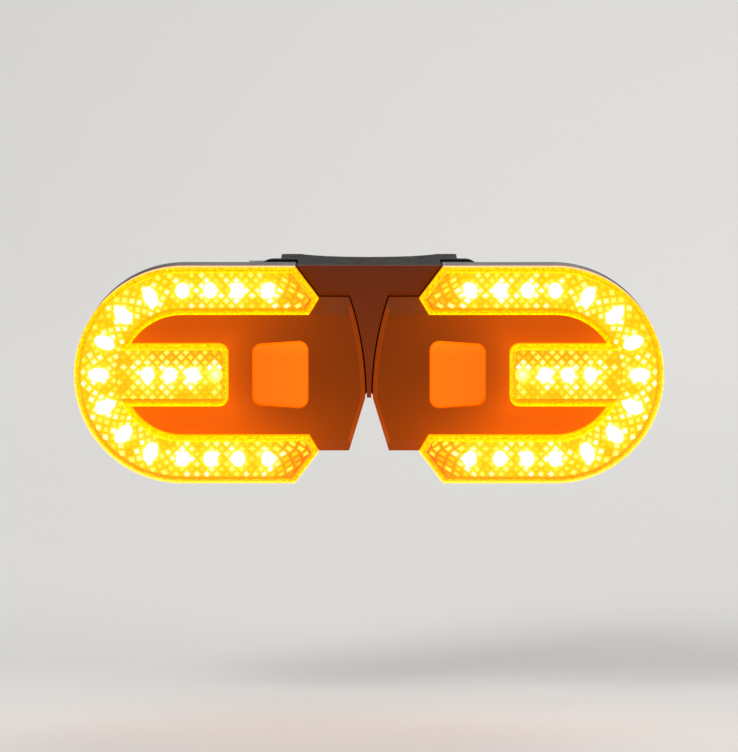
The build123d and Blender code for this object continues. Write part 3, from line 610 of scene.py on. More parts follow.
band_turns = np.clip(diode_s / BAND_MIDDLE, -QUARTER, QUARTER)
diode_turns = np.concatenate([band_turns, np.full(BAR_DIODES, QUARTER)])
in_bend = np.concatenate([np.abs(diode_s) < ARC_HALF - 1, np.full(BAR_DIODES, False)])
diode_power = np.ones(len(diodes))
diode_power[-BAR_DIODES] = FIRST_BAR_POWER
print("diodes in a light:", len(diodes))

# %% [markdown]
# The light is worked out for each corner of each face as a level from 0 to 1 and kept in a colour
# attribute. A ramp of five colours turns levels into light: deep orange, orange, gold, yellow and white.
# Strong amber light has more red than a screen can show, and that is what turns it yellow in the
# photograph.
#
# A level is high at a diode and on a prism's flat top. It is low in the gaps, towards the arms' ends and
# in the upper part of the bar. A seeded random share makes some prisms sparkle more than others.

# %% Light in the prisms
GLOW_PEAK = 2.0
GLOW_STEPS = np.array([0.0, 0.25, 0.5, 0.75, 1.0])
GLOW_COLOURS = np.array([(1.2, 0.12, 0), (1.35, 0.36, 0), (1.5, 0.9, 0), (1.8, 1.35, 0.2), (2, 2, 2)])
DIODE_REACH = 2.9
DIODE_CORE = 1.35
TOP_REACH = 0.7 * DIODE_REACH
GAP_LEVEL, GAP_NEAR, GAP_CORE, GAP_LOSS = 0.35, 0.12, 0.4, 0.9
TOP_LEVEL, TOP_NEAR, TOP_LOSS = 0.61, 0.42, 0.4
TIP_LOSS, TIP_LEAN, BAR_LOSS = 0.26, 0.12, 0.18
TIP_DIM_U, TIP_DIM_RUN = TIP_U + 9.5, 6.0
BAR_DIM_V, BAR_DIM_RUN, BAR_DIM_U = 1.2, 1.0, BEND_U + 6.0
FLANK_SHARE = 0.78
SPARKLE = 0.24
chance = np.random.default_rng(7)


def nearness(u, v, reach):
    """A bell round the nearest diode: e to the power of minus the square of distance over reach."""
    gaps = np.hypot(u[..., None] - diodes[:, 0], v[..., None] - diodes[:, 1]).min(axis=-1)
    return np.exp(-((gaps / reach) ** 2))


def light_colour(level):
    """Red, green, blue and alpha as shares of the peak, read off the ramp of colours."""
    level = np.clip(level, 0, 1)
    bands = [np.interp(level, GLOW_STEPS, GLOW_COLOURS[:, band]) / GLOW_PEAK for band in range(3)]
    return np.stack([*bands, np.ones_like(level)], axis=-1)


def loss(u, v):
    """How much light is lost: some towards the arms' ends, more of it in the lower arm, and a little in the
    upper part of the bar."""
    tips = np.clip((TIP_DIM_U - u) / TIP_DIM_RUN, 0, 1)
    bar_top = np.clip((v - BAR_DIM_V) / BAR_DIM_RUN, 0, 1) * (v < BAR_HALF) * (u < BAR_DIM_U)
    return (TIP_LOSS - TIP_LEAN * np.sign(v)) * tips + BAR_LOSS * bar_top


def gap_level(u, v):
    """The light between the prisms: orange, and gold round a diode."""
    near = GAP_NEAR * nearness(u, v, DIODE_REACH) + GAP_CORE * nearness(u, v, DIODE_CORE)
    return GAP_LEVEL + near - GAP_LOSS * loss(u, v)


def top_level(u, v):
    """The light that leaves a prism's flat top: gold to yellow, and white near a diode."""
    return TOP_LEVEL + TOP_NEAR * nearness(u, v, TOP_REACH) - TOP_LOSS * loss(u, v)


print("light levels at a diode:", gap_level(*diodes[0]).round(2), "and", top_level(*diodes[0]).round(2))

# %% One field of prisms


def prisms(centre_a, centre_b, half_height, place, limit_b):
    """Pyramids on diamond feet with their points cut off. A foot's corners lie half a width along a and a
    half height along b from its centre, and a top is the same diamond at a smaller scale. Both are held
    inside limit_b and turned into (u, v) by place. Each face corner has a colour: the gap's at a foot, the
    top's on a top, and a share of it where a flank meets the top. Returns (points, faces, colours)."""
    diamond = np.array([(1, 0), (0, 1), (-1, 0), (0, -1)], float) * [PRISM_WIDTH / 2, half_height]
    scale = np.array([[1.0], [PRISM_TOP_SHARE]])
    a = centre_a[:, None, None] + diamond[:, 0] * scale
    b = np.clip(centre_b[:, None, None] + diamond[:, 1] * scale, -limit_b, limit_b)
    u, v = np.broadcast_arrays(*place(a, b))
    depth = SHEET_FRONT + np.array([[0.0], [PRISM_RISE]])
    points = light_place(u, v, depth).reshape(-1, 3)
    foot = gap_level(u[:, 0], v[:, 0])
    top = top_level(u[:, 1], v[:, 1]) + chance.uniform(-SPARKLE, SPARKLE, (len(centre_a), 1))
    upper = top * FLANK_SHARE
    flank = np.stack([foot, np.roll(foot, -1, axis=1), np.roll(upper, -1, axis=1), upper], axis=-1)
    levels = np.concatenate([flank, top[:, None], foot[:, None, ::-1]], axis=1)
    ring = np.arange(4)
    after = np.roll(ring, -1)
    one = np.concatenate([np.stack([ring, after, after + 4, ring + 4], axis=-1), [ring + 4], [ring[::-1]]])
    faces = (one[None] + 8 * np.arange(len(centre_a))[:, None, None]).reshape(-1, 4).tolist()
    return points, faces, light_colour(levels).reshape(-1, 4)


def lattice(start, end, rows, spacing):
    """Centres of staggered rows, as two flat arrays. Rows start a quarter of a prism in, and every second
    one is moved on by half a prism."""
    count = round((end - start) / PRISM_WIDTH)
    step = (end - start) / count
    along, across = np.meshgrid(start + step * (np.arange(count) + 0.25), rows, indexing="ij")
    shift = (np.round(across / spacing - rows[0] / spacing) % 2) * step / 2
    return (along + shift).ravel(), across.ravel()


print("centres on a strip of 10 prisms and 2 rows:", lattice(0.0, 10 * PRISM_WIDTH, [0.0, 1.0], 1.0)[0].size)

# %% Lay out the prisms
BAR_SHEET_START = BAR_START + LENS_WALL + SHEET_GAP
BAR_SHEET_HALF = BAR_HALF - LENS_WALL - SHEET_GAP
BAR_SHEET_RADIUS = BAND_MIDDLE - SHEET_HALF
DOME_RADIUS = 1.35
DOME_CLEAR = DOME_RADIUS * 0.4
EDGE_CLEAR = PRISM_WIDTH / 8


def clear_of_domes(u, v):
    """Which centres aren't under the middle of a dome."""
    return np.hypot(u[:, None] - diodes[:, 0], v[:, None] - diodes[:, 1]).min(axis=1) > DOME_CLEAR


def held_band_place(a, b):
    """The strip's bend, for places held inside the strip's ends."""
    return band_place(np.clip(a, -STRIP_HALF, STRIP_HALF), b)


def held_bar_place(a, b):
    """Places held between the bar's end and the arc where the band begins."""
    return np.clip(a, BAR_SHEET_START, BEND_U + np.sqrt(BAR_SHEET_RADIUS**2 - b**2)), b


band_rows = BAND_PRISM_HALF * (np.arange(BAND_ROWS) - (BAND_ROWS - 1) / 2)
bar_rows = BAR_PRISM_HALF * (np.arange(BAR_ROWS) - (BAR_ROWS - 1) / 2)
band_a, band_b = lattice(-STRIP_HALF, STRIP_HALF, band_rows, BAND_PRISM_HALF)
bar_a, bar_b = lattice(BAR_SHEET_START, BEND_U + BAR_SHEET_RADIUS, bar_rows, BAR_PRISM_HALF)
keep_band = clear_of_domes(*band_place(band_a, band_b)) & (np.abs(band_a) < STRIP_HALF - EDGE_CLEAR)
keep_bar = clear_of_domes(bar_a, bar_b) & (bar_a > BAR_SHEET_START + EDGE_CLEAR)
keep_bar &= np.hypot(bar_a + EDGE_CLEAR - BEND_U, bar_b) < BAR_SHEET_RADIUS
band_field = prisms(band_a[keep_band], band_b[keep_band], BAND_PRISM_HALF, held_band_place, SHEET_HALF)
bar_field = prisms(bar_a[keep_bar], bar_b[keep_bar], BAR_PRISM_HALF, held_bar_place, BAR_SHEET_HALF)
print("prisms in a light:", keep_band.sum() + keep_bar.sum())

# %% The sheets and the domes
SHEET_STEPS = 121
ARM_STRETCH = 1.15
BEND_STRETCH = 1.55
DOME_RISE = 1.0
DOME_TOP = 0.97
DOME_RINGS = 6
DOME_AROUND = 20
DOME_LEVEL, DOME_LIFT = 0.7, 0.5


def sheet_strip():
    """The band's sheet: a thin rectangle carried along the strip and bent with it."""
    s = np.linspace(-STRIP_HALF, STRIP_HALF, SHEET_STEPS)[:, None]
    t = SHEET_HALF * np.array([-1, -1 / 3, 1 / 3, 1])
    u, v = band_place(s, np.concatenate([t, t[::-1]]))
    return tube(light_place(u, v, np.repeat([SHEET_FRONT, SHEET_BACK], len(t))))


def sheet_bar():
    """The bar's sheet, seen from the front: straight sides, and an end that is an arc about the bend."""
    turn = np.linspace(-1, 1, 13) * math.asin(BAR_SHEET_HALF / BAR_SHEET_RADIUS)
    arc = np.stack([BEND_U + BAR_SHEET_RADIUS * np.cos(turn), BAR_SHEET_RADIUS * np.sin(turn)], axis=-1)
    outline = np.concatenate([arc, [(BAR_SHEET_START, BAR_SHEET_HALF), (BAR_SHEET_START, -BAR_SHEET_HALF)]])
    return tube(light_place(*outline.T, np.array([[SHEET_BACK], [SHEET_FRONT]])))


def domes():
    """Over each diode, half an ellipsoid: rings shrink with the cosine and rise with the sine of one angle.
    Returns the shape and a level of light for each point."""
    climb = np.linspace(0, DOME_TOP, DOME_RINGS) * QUARTER
    around = np.linspace(0, 2 * math.pi, DOME_AROUND, endpoint=False)
    ring_x = DOME_RADIUS * np.cos(around) * np.cos(climb)[:, None]
    y = DOME_RADIUS * np.sin(around) * np.cos(climb)[:, None]
    depth = SHEET_FRONT + DOME_RISE * np.sin(climb)[:, None]
    parts, levels = [], []
    for (u, v), turn, bent, power in zip(diodes, diode_turns, in_bend, diode_power):
        x = ring_x * (BEND_STRETCH if bent else ARM_STRETCH)
        place_u = u + x * math.cos(turn) - y * math.sin(turn)
        place_v = v + x * math.sin(turn) + y * math.cos(turn)
        parts.append(tube(light_place(place_u, place_v, depth)))
        levels.append(np.repeat(power * (DOME_LEVEL + DOME_LIFT * np.sin(climb)), DOME_AROUND))
    return together(parts), np.concatenate(levels)


print("faces over the diodes:", len(domes()[0][1]))

# %% [markdown]
# The prisms and domes are clear acrylic, lit from behind. What the eye sees is their light far more than
# their surface, so the finish is a dark amber with the attribute's colour as its emission. The lens in
# front lets only LENS_PASS of that through its two surfaces, so the strength makes up for it.

# %% Make the prism sheets
PRISM_GAIN = 0.77


def corner_colours(shape, levels):
    """A colour for each corner of each face, from a level for each point."""
    return light_colour(levels[np.concatenate([np.array(face) for face in shape[1]])])


def turned_faces(colours, faces):
    """The corners' colours for faces whose corners are listed backwards, as on the mirrored side."""
    sizes = np.array([len(face) for face in faces])
    starts = np.cumsum(sizes) - sizes
    order = [np.arange(start, start + size)[::-1] for start, size in zip(starts, sizes)]
    return colours[np.concatenate(order)]


prism_optic, tree, shader = new_finish(
    "clear acrylic prisms, lit from behind", "#c24e00", 0.2,
    IOR=1.49, Specular_IOR_Level=0.2, Emission_Strength=PRISM_GAIN * GLOW_PEAK / LENS_PASS,
)
add(tree, "Attribute", (), shader.inputs["Emission Color"], attribute_name="glow")
strip, bar_sheet = sheet_strip(), sheet_bar()
dome_shape, dome_levels = domes()
prism_shape = together([strip, bar_sheet, band_field[:2], bar_field[:2], dome_shape])
sheet_colours = []
for sheet in (strip, bar_sheet):
    sheet_colours.append(corner_colours(sheet, gap_level(sheet[0][:, 0], sheet[0][:, 2] - LIGHTS_Z)))
dome_colours = corner_colours(dome_shape, dome_levels)
right_colours = np.concatenate([*sheet_colours, band_field[2], bar_field[2], dome_colours])
left_colours = turned_faces(right_colours, prism_shape[1])
prism_pieces = make_pair("lens_prisms", prism_shape, prism_optic, "light", 25)
for piece, colours in zip(prism_pieces, (right_colours, left_colours)):
    attribute = piece.data.color_attributes.new("glow", "FLOAT_COLOR", "CORNER")
    attribute.data.foreach_set("color", colours.ravel())


# %% [markdown]
# ## The lit buttons
#
# Each button is a soft cap of orange silicone with a lamp behind it, so the whole of it glows, a little
# more at its upper edge and towards the middle of the pair. A real cap isn't a cut plate: its edge is
# rounded by the mould and its top is slightly crowned. A Bevel modifier could round the CAD shape, but not
# crown it. So the cap is made of rings. They start as the outline, turn over the edge along a quarter
# circle, and shrink to the middle while they rise.

# %% Orange silicone
button_low, button_high = box_mm("right_button")
LIT_ACROSS, LIT_UP = (11.4, 21.4), (3.5, 6.0)
button_silicone, tree, shader = new_finish(
    "orange silicone, cast and lit from behind", "#8a3a00", 0.45, (0.01, 0.5, 2.0),
    IOR=1.41, Specular_IOR_Level=0.2, Emission_Color=(1.0, 0.135, 0.0, 1.0),
)
u, v, depth = light_coordinates(tree)
inner_side = add(tree, "MapRange", [u, *LIT_ACROSS, 1.2, 0.98])
upper_edge = add(tree, "MapRange", [v, *LIT_UP, 0.0, 0.35])
add(tree, "Math", [inner_side, upper_edge], shader.inputs["Emission Strength"], operation="ADD")

# %% Make the button caps
BUTTON_BACK, BUTTON_FRONT = depths("right_button")
BUTTON_EDGE = 0.55
BUTTON_CROWN = 0.18
BUTTON_TAPER = 0.7
BUTTON_CORNER = 1.6
FLANGE = 1.0
FLANGE_THICKNESS = 0.8
FLANGE_EDGE_WIDTH = 0.04
FLANGE_EDGE_DEPTH = 0.1


def button_cap():
    """Rings from the flange's back to the crown: a flange with broken edges, straight walls, a quarter
    circle over the edge, then a shallow parabola up to the middle."""
    inner_u, outer_u = button_low[0] + FLANGE, button_high[0] - FLANGE
    inner_half = (button_high[2] - button_low[2]) / 2 - FLANGE
    outer_half = inner_half - BUTTON_TAPER
    corners = [(inner_u, -inner_half), (outer_u, -outer_half), (outer_u, outer_half), (inner_u, inner_half)]
    outline = rounded(corners, BUTTON_CORNER, 8)
    flange, flange_top = inset(outline, -FLANGE), BUTTON_BACK + FLANGE_THICKNESS
    broken = inset(outline, FLANGE_EDGE_WIDTH - FLANGE)
    rings = [(broken, BUTTON_BACK), (flange, BUTTON_BACK + FLANGE_EDGE_DEPTH)]
    rings += [(flange, flange_top - FLANGE_EDGE_DEPTH), (broken, flange_top), (outline, flange_top)]
    wall_top = BUTTON_FRONT - BUTTON_CROWN - BUTTON_EDGE
    for angle in np.linspace(0, QUARTER, 6):
        over = inset(outline, BUTTON_EDGE * (1 - math.cos(angle)))
        rings.append((over, wall_top + BUTTON_EDGE * math.sin(angle)))
    centre, rim = outline.mean(axis=0), inset(outline, BUTTON_EDGE)
    for share in (0.8, 0.6, 0.4, 0.2, 0.05):
        rings.append((centre + (rim - centre) * share, BUTTON_FRONT - BUTTON_CROWN * share * share))
    return tube(np.stack([light_place(ring[:, 0], ring[:, 1], depth) for ring, depth in rings]))


make_pair("button_cap", button_cap(), button_silicone, "push_button", 50, "button")

# %% [markdown]
# ## The strap and the clamp's lining
#
# The strap is a flat band of black silicone with rounded edges. It runs from its pin round the back of
# the clamp to the peg and ends in a pull tab with three ridges. A bevelled curve could draw it, but its
# section has to get lower at the tab's end, so the section is carried along the route here: a rounded
# rectangle set square to the path. The clamp's rubber lining is made the same way. Its section is carried
# round the bore, and three grooves are pressed into it.
#
# Silicone looks soft and a little cloudy, because its gloss is uneven. Rubber is duller, with dust in it.

# %% Black silicone and rubber
black_silicone = new_finish(
    "black silicone, compression moulded",
    ("#18181a", "#232325", 1.2), (0.42, 0.58, 2.5), (0.02, 0.6, 2.0), IOR=1.41,
)[0]
black_rubber = new_finish(
    "black rubber, moulded and dusty",
    ("#131313", "#222220", 1.6), (0.7, 0.9, 1.0), (0.03, 0.35, 2.0), IOR=1.52,
)[0]

# %% Sizes of the strap
STRAP_THICKNESS = 2.4
STRAP_HALF = 7.0
STRAP_EDGE = 0.6
STRAP_GAP = 0.2
TAB_LENGTH = 8.5
TAB_CORNER = 3.0
PIN_BORE = 1.6
LOOP_WALL = 1.9
LOOP_EDGE = 0.5
LOOP_STEPS = 40
RIDGES = 3
RIDGE_PITCH = 1.8
RIDGE_HALF = STRAP_HALF - TAB_CORNER
RIDGE_SPREAD, RIDGE_RISE, RIDGE_SUNK = 0.45, 0.58, 0.1
RIDGE_END, RIDGE_END_SHARE = 0.3, 0.6
SHORT_STEP = 0.1
BORE_RADIUS = frame["record"]["mounts"][0]["dims"]["r_mm"]
STRAP_MIDDLE = BORE_RADIUS + STRAP_GAP + STRAP_THICKNESS / 2
pin_low, pin_high = box_mm("strap_pin")
PIN_X, PIN_Y = (pin_low[:2] + pin_high[:2]) / 2
PIN_REACH = math.hypot(PIN_X, PIN_Y)
STRAIGHT = math.sqrt(PIN_REACH**2 - STRAP_MIDDLE**2)
TOUCH = math.atan2(PIN_Y, -PIN_X) + math.acos(STRAP_MIDDLE / PIN_REACH)
ARC = (QUARTER - TOUCH) * STRAP_MIDDLE
ANCHOR = ARC + STRAIGHT
STRAP_END = ANCHOR + TAB_LENGTH
print("strap's length", round(ANCHOR + STRAP_END, 1), "mm")


def strap_route(lengths):
    """The strap's middle line from above, at lengths measured from its rearmost point. It is a circle about
    the clamp's axis up to where a straight line to the peg touches it, and the same mirrored for the pin."""
    turn = np.clip(np.abs(lengths), 0, ARC) / STRAP_MIDDLE
    beyond = np.maximum(np.abs(lengths) - ARC, 0)
    x = STRAP_MIDDLE * np.sin(turn) + beyond * math.sin(TOUCH)
    y = STRAP_MIDDLE * np.cos(turn) - beyond * math.cos(TOUCH)
    return np.stack([np.where(lengths < 0, -x, x), y], axis=-1)


# %% Make the strap


def strap_band():
    """A rounded rectangle carried along the route. Its height follows a quarter circle at the tab's end."""
    corner_start = STRAP_END - TAB_CORNER
    corner_steps = TAB_CORNER * (1 - np.sin(np.linspace(0.1, 1, 9) * QUARTER))
    lengths = np.concatenate([np.linspace(-ANCHOR, corner_start, 90), STRAP_END - corner_steps])
    path = strap_route(lengths)
    along = np.gradient(path, axis=0)
    along /= np.linalg.norm(along, axis=1, keepdims=True)
    normal = np.stack([-along[:, 1], along[:, 0]], axis=-1)
    section = rectangle(STRAP_THICKNESS, STRAP_HALF * 2, STRAP_EDGE, 4)
    into_end = np.maximum(lengths - corner_start, 0)
    half = STRAP_HALF - TAB_CORNER + np.sqrt(np.maximum(TAB_CORNER**2 - into_end**2, 0))
    flat = path[:, None] + normal[:, None] * section[None, :, :1]
    height = section[None, :, 1] * (half / STRAP_HALF)[:, None]
    return tube(np.concatenate([flat, height[..., None]], axis=-1))


def strap_loop():
    """A rounded rectangle carried round the pin, with its last ring joined to its first."""
    section = rectangle(LOOP_WALL, STRAP_HALF * 2, LOOP_EDGE, 4) + [PIN_BORE + LOOP_WALL / 2, 0]
    around = np.linspace(0, 2 * math.pi, LOOP_STEPS, endpoint=False)[:, None]
    x, y = PIN_X + section[:, 0] * np.cos(around), PIN_Y + section[:, 0] * np.sin(around)
    ring = np.stack([x, y, np.broadcast_to(section[:, 1], x.shape)], axis=-1)
    faces = np.array(grid_faces(LOOP_STEPS + 1, len(section))) % (LOOP_STEPS * len(section))
    return ring.reshape(-1, 3), faces.tolist()


def strap_ridge(middle):
    """Half an ellipse that stands on the strap's outer side, drawn out over the strap's height."""
    place, before = strap_route(np.array([middle, middle - SHORT_STEP]))
    ahead = (place - before) / np.linalg.norm(place - before)
    out = np.array([-ahead[1], ahead[0]])
    out = out if out @ place > 0 else -out
    bow = np.linspace(0, math.pi, 9)[:, None]
    profile = place + out * (STRAP_THICKNESS / 2 - RIDGE_SUNK)
    profile = profile + np.cos(bow) * ahead * RIDGE_SPREAD + np.sin(bow) * out * RIDGE_RISE
    full = RIDGE_HALF - RIDGE_END
    heights, scales = (-RIDGE_HALF, -full, full, RIDGE_HALF), (RIDGE_END_SHARE, 1, 1, RIDGE_END_SHARE)
    centre, rings = profile.mean(axis=0), []
    for height, scale in zip(heights, scales):
        rings.append(np.column_stack([centre + (profile - centre) * scale, np.full(len(bow), height)]))
    return tube(np.stack(rings))


ridges = [strap_ridge(STRAP_END - RIDGE_PITCH * (n + 0.5)) for n in range(RIDGES)]
strap = together([strap_band(), strap_loop(), *ridges])
make_piece("post_strap_band", strap, black_silicone, "bracket", replaces=["post_strap"])

# %% Make the clamp's lining
GROOVE_TURNS = (-34.0, 0.0, 34.0)
GROOVE_HALF = 0.45
GROOVE_DEPTH = 0.6
GROOVE_SLOPE = 1.5
PAD_EDGE = 0.3
PAD_STEPS = 161
PAD_REACH_SHARE = 0.995
pad_low, pad_high = box_mm("saddle_pad")
PAD_OUTER = -pad_low[1]
PAD_HALF = pad_high[2]


def pad_lining():
    """A rounded rectangle carried round the bore. Its width is a share of the lining's thickness, so its
    inner side can slope into each groove and out again."""
    reach = math.acos(-pad_high[1] / PAD_OUTER) * PAD_REACH_SHARE
    turn = np.linspace(-reach, reach, PAD_STEPS)
    off = np.abs(turn[:, None] - np.radians(GROOVE_TURNS)).min(axis=1) * BORE_RADIUS
    inner = BORE_RADIUS + GROOVE_DEPTH * np.clip(GROOVE_SLOPE - off / GROOVE_HALF, 0, 1)
    section = rectangle(1.0, PAD_HALF * 2, PAD_EDGE, 4)
    radius = inner[:, None] + (section[:, 0] + 0.5) * (PAD_OUTER - inner)[:, None]
    height = np.broadcast_to(section[:, 1], radius.shape)
    lining = np.stack([radius * np.sin(turn)[:, None], -radius * np.cos(turn)[:, None], height], axis=-1)
    return tube(lining[::-1])


lining = pad_lining()
make_piece("saddle_pad_lining", lining, black_rubber, "bracket", replaces=["saddle_pad"])

# %% [markdown]
# ## The charging covers
#
# The cover is a flap of soft silicone with a plug on its inner side and a round hinge at one end. The
# flap's edges are rounded and its outer face is a little hollow, with three ribs for a fingertip near its
# free end. One mesh could be cut to this shape with booleans. Four kinds of closed shape that overlap, as
# in a mould's inserts, give cleaner faces.

# %% Make the charging covers
cover_low, cover_high = box_mm("right_usb_cover")
COVER_THICKNESS = 1.2
COVER_EDGE = 0.3
COVER_CORNER = 0.5
COVER_RIM = 0.1
HOLLOW = 0.12
HOLLOW_SHARES = ((0.1, 1), (0.5, 1), (0.86, 1 / 6))
PLUG_LENGTH, PLUG_HEIGHT, PLUG_CORNER = 7.5, 1.86, 0.9
NOSE_DEPTH, NOSE_CHAMFER = 0.4, 0.12
RIBS = 3
RIB_INSET, RIB_PITCH, RIB_HALF, RIB_RISE, RIB_SUNK = 2.0, 0.9, 0.3, 0.23, 0.25
RIB_SHARE = 0.32
BARREL = COVER_THICKNESS / 2
BARREL_END, BARREL_END_SHARE = 0.2, 0.75
COVER_TOP = cover_low[2] + COVER_THICKNESS
cover_middle = (cover_low[:2] + cover_high[:2]) / 2
cover_length, cover_height = (cover_high - cover_low)[:2]


def stacked(rings):
    """A closed surface through level outlines, given as (outline, height) pairs."""
    return tube(np.stack([np.column_stack([ring, np.full(len(ring), z)]) for ring, z in rings]))


def cover_flap():
    """Outlines from the hollow's middle outwards, over the edge along a quarter circle and up to the top."""
    flap = rectangle(cover_length - BARREL, cover_height, COVER_CORNER, 5) + cover_middle + [BARREL / 2, 0]
    centre, low = flap.mean(axis=0), cover_low[2]
    rings = []
    for share, sink in HOLLOW_SHARES:
        rings.append((centre + (flap - centre) * share, low + HOLLOW * sink))
    for angle in np.linspace(0, QUARTER, 5):
        edge = inset(flap, COVER_EDGE * (1 - math.sin(angle)))
        rings.append((edge, low + COVER_EDGE * (1 - math.cos(angle))))
    return stacked(rings + [(flap, COVER_TOP - COVER_RIM), (inset(flap, COVER_RIM), COVER_TOP)])


def cover_plug():
    """A rounded rectangle drawn up into the socket, with a nose that narrows in two steps."""
    plug, end = rectangle(PLUG_LENGTH, PLUG_HEIGHT, PLUG_CORNER, 5) + cover_middle, cover_high[2]
    nose = [(inset(plug, NOSE_CHAMFER), end - NOSE_CHAMFER), (inset(plug, NOSE_DEPTH), end)]
    return stacked([(plug, COVER_TOP - COVER_RIM), (plug, end - NOSE_DEPTH), *nose])


def cover_barrel():
    """The hinge: circles along y that are smaller at both ends."""
    around = np.linspace(0, 2 * math.pi, 20, endpoint=False)
    scale = np.array([[BARREL_END_SHARE], [1.0], [1.0], [BARREL_END_SHARE]])
    low, high = cover_low[1], cover_high[1]
    y = np.array([[low], [low + BARREL_END], [high - BARREL_END], [high]])
    x = cover_low[0] + BARREL + BARREL * np.cos(around) * scale
    z = cover_low[2] + BARREL + BARREL * np.sin(around) * scale
    return tube(np.stack([x, np.broadcast_to(y, x.shape), z], axis=-1)[::-1])


def cover_rib(n):
    """Half an ellipse under the flap, drawn out along y."""
    bow = np.linspace(0, math.pi, 7)
    x = cover_high[0] - RIB_INSET - RIB_PITCH * n + RIB_HALF * np.cos(bow)
    z = cover_low[2] + RIB_SUNK - RIB_RISE * np.sin(bow)
    stations = cover_middle[1] + np.array([1, -1]) * cover_height * RIB_SHARE
    return tube(np.stack([np.column_stack([x, np.full(len(bow), y), z]) for y in stations]))


cover = together([cover_flap(), cover_plug(), cover_barrel(), *[cover_rib(n) for n in range(RIBS)]])
make_pair("usb_cover_flap", cover, black_silicone, "charging_cover", 40, "usb_cover")

# %% [markdown]
# ## The screws
#
# Small screws have a low domed head with a six-lobed drive. One surface gives the whole screw: a profile
# from the middle of the drive out over the head and down the shank, turned round the screw's axis. Inside
# the drive the radius swells and shrinks six times a turn. A Screw modifier could wind the thread, but
# here it is a ripple of the shank's radius that climbs as it turns, which keeps the mesh closed.
#
# The zinc plating is bright with a faint warm and cool mottle, and it blurs what it mirrors.

# %% Zinc-plated steel
zinc_tones = ("#aeb0b4", "#c9c6bd", 1.5)
zinc_steel = new_finish("steel, zinc plated", zinc_tones, (0.24, 0.42, 0.8), Metallic=1.0)[0]
dress(zinc_steel, "board_screws")

# %% One screw
HEAD_RADIUS = 1.7
HEAD_HEIGHT = 1.1
HEAD_DOME = 0.28
HEAD_CHAMFER = 0.08
SHANK_RADIUS = 0.95
TIP_RADIUS = 0.6 * SHANK_RADIUS
TIP_LENGTH = 0.3
THREAD_PITCH = 0.6
THREAD_HALF = 0.08
THREAD_STEP = 0.15
DRIVE = 0.42 * HEAD_RADIUS
DRIVE_RIM = 1.12 * DRIVE
DRIVE_DEPTH = 0.6
DRIVE_SLOPE = 0.05
DRIVE_EDGE = 0.04
POLE_RADIUS = 0.05
LOBES = 6
LOBE_SWELL = 0.16
SCREW_AROUND = 48


def screw(u, v, start, end):
    """Profile points are (radius, depth, lobe share): drive floor, drive wall, domed head, underside, shank
    and tip. The radius is scaled by a cosine of six times the turn, and the thread adds a sine of the turn
    less the depth over the pitch."""
    head = [(POLE_RADIUS, DRIVE_DEPTH, 0), (DRIVE / 2, DRIVE_DEPTH - DRIVE_SLOPE, 0.5)]
    head += [(DRIVE, DRIVE_DEPTH - 2 * DRIVE_SLOPE, 1), (DRIVE, DRIVE_EDGE, 1), (DRIVE_RIM, 0, 0.6)]
    for angle in np.linspace(0.2, 1, 6) * QUARTER:
        out = DRIVE_RIM + (HEAD_RADIUS - DRIVE_RIM) * math.sin(angle)
        head.append((out, HEAD_DOME * (1 - math.cos(angle)), 0))
    head += [(HEAD_RADIUS, HEAD_HEIGHT - HEAD_CHAMFER, 0), (HEAD_RADIUS - HEAD_CHAMFER, HEAD_HEIGHT, 0)]
    head = np.array(head + [(SHANK_RADIUS, HEAD_HEIGHT, 0)])
    shank = np.arange(start + HEAD_HEIGHT + THREAD_STEP, end - TIP_LENGTH, THREAD_STEP)
    depth = np.concatenate([start + head[:, 1], shank, [end]])[:, None]
    radius = np.concatenate([head[:, 0], np.full(len(shank), SHANK_RADIUS - THREAD_HALF), [TIP_RADIUS]])
    lobes = np.concatenate([head[:, 2], np.zeros(len(shank) + 1)])
    thread = np.concatenate([np.zeros(len(head)), np.ones(len(shank)), [0]])
    turn = np.linspace(0, 2 * math.pi, SCREW_AROUND, endpoint=False)
    swell = 1 + LOBE_SWELL * lobes[:, None] * np.cos(LOBES * turn)
    climb = np.sin(turn - 2 * math.pi * depth / THREAD_PITCH) * THREAD_HALF * thread[:, None]
    rings = radius[:, None] * swell + climb
    return tube(light_place(u + rings * np.cos(turn), v + rings * np.sin(turn), depth))


print("a screw of 6 mm has", len(screw(0.0, 0.0, 0.0, 6.0)[1]), "faces")

# %% Make the screws
BEND_SCREW_RADIUS = POD_HALF - 4.2
BEND_SCREW_TURN = math.radians(50)
NOSE_SCREW_V = TIP_V - 3.7
OUTER_SCREW_GAP = 0.2


def screw_ends(node):
    """The distances from the middle of a node's innermost and outermost screw."""
    low, high = box_mm(node)
    return low[0] + HEAD_RADIUS, high[0] - HEAD_RADIUS


shell_start, shell_end = depths("right_shell_screws")
shoe_start, shoe_end = depths("right_shoe_screws")
nose_u, bend_u = screw_ends("right_shell_screws")
bend_v = BEND_SCREW_RADIUS * math.sin(BEND_SCREW_TURN)
bend_end = shell_end - (depths("right_front_shell")[1] - LENS_BACK) + OUTER_SCREW_GAP
shell_screws = [screw(nose_u, way * NOSE_SCREW_V, shell_start, shell_end) for way in (1, -1)]
shell_screws += [screw(bend_u, way * bend_v, shell_start, bend_end) for way in (1, -1)]
shoe_screws = [screw(u, 0.0, shoe_start, shoe_end) for u in screw_ends("right_shoe_screws")]
for name, screws in (("shell_screws", shell_screws), ("shoe_screws", shoe_screws)):
    make_pair(name + "_threaded", together(screws), zinc_steel, "light", 35, name)


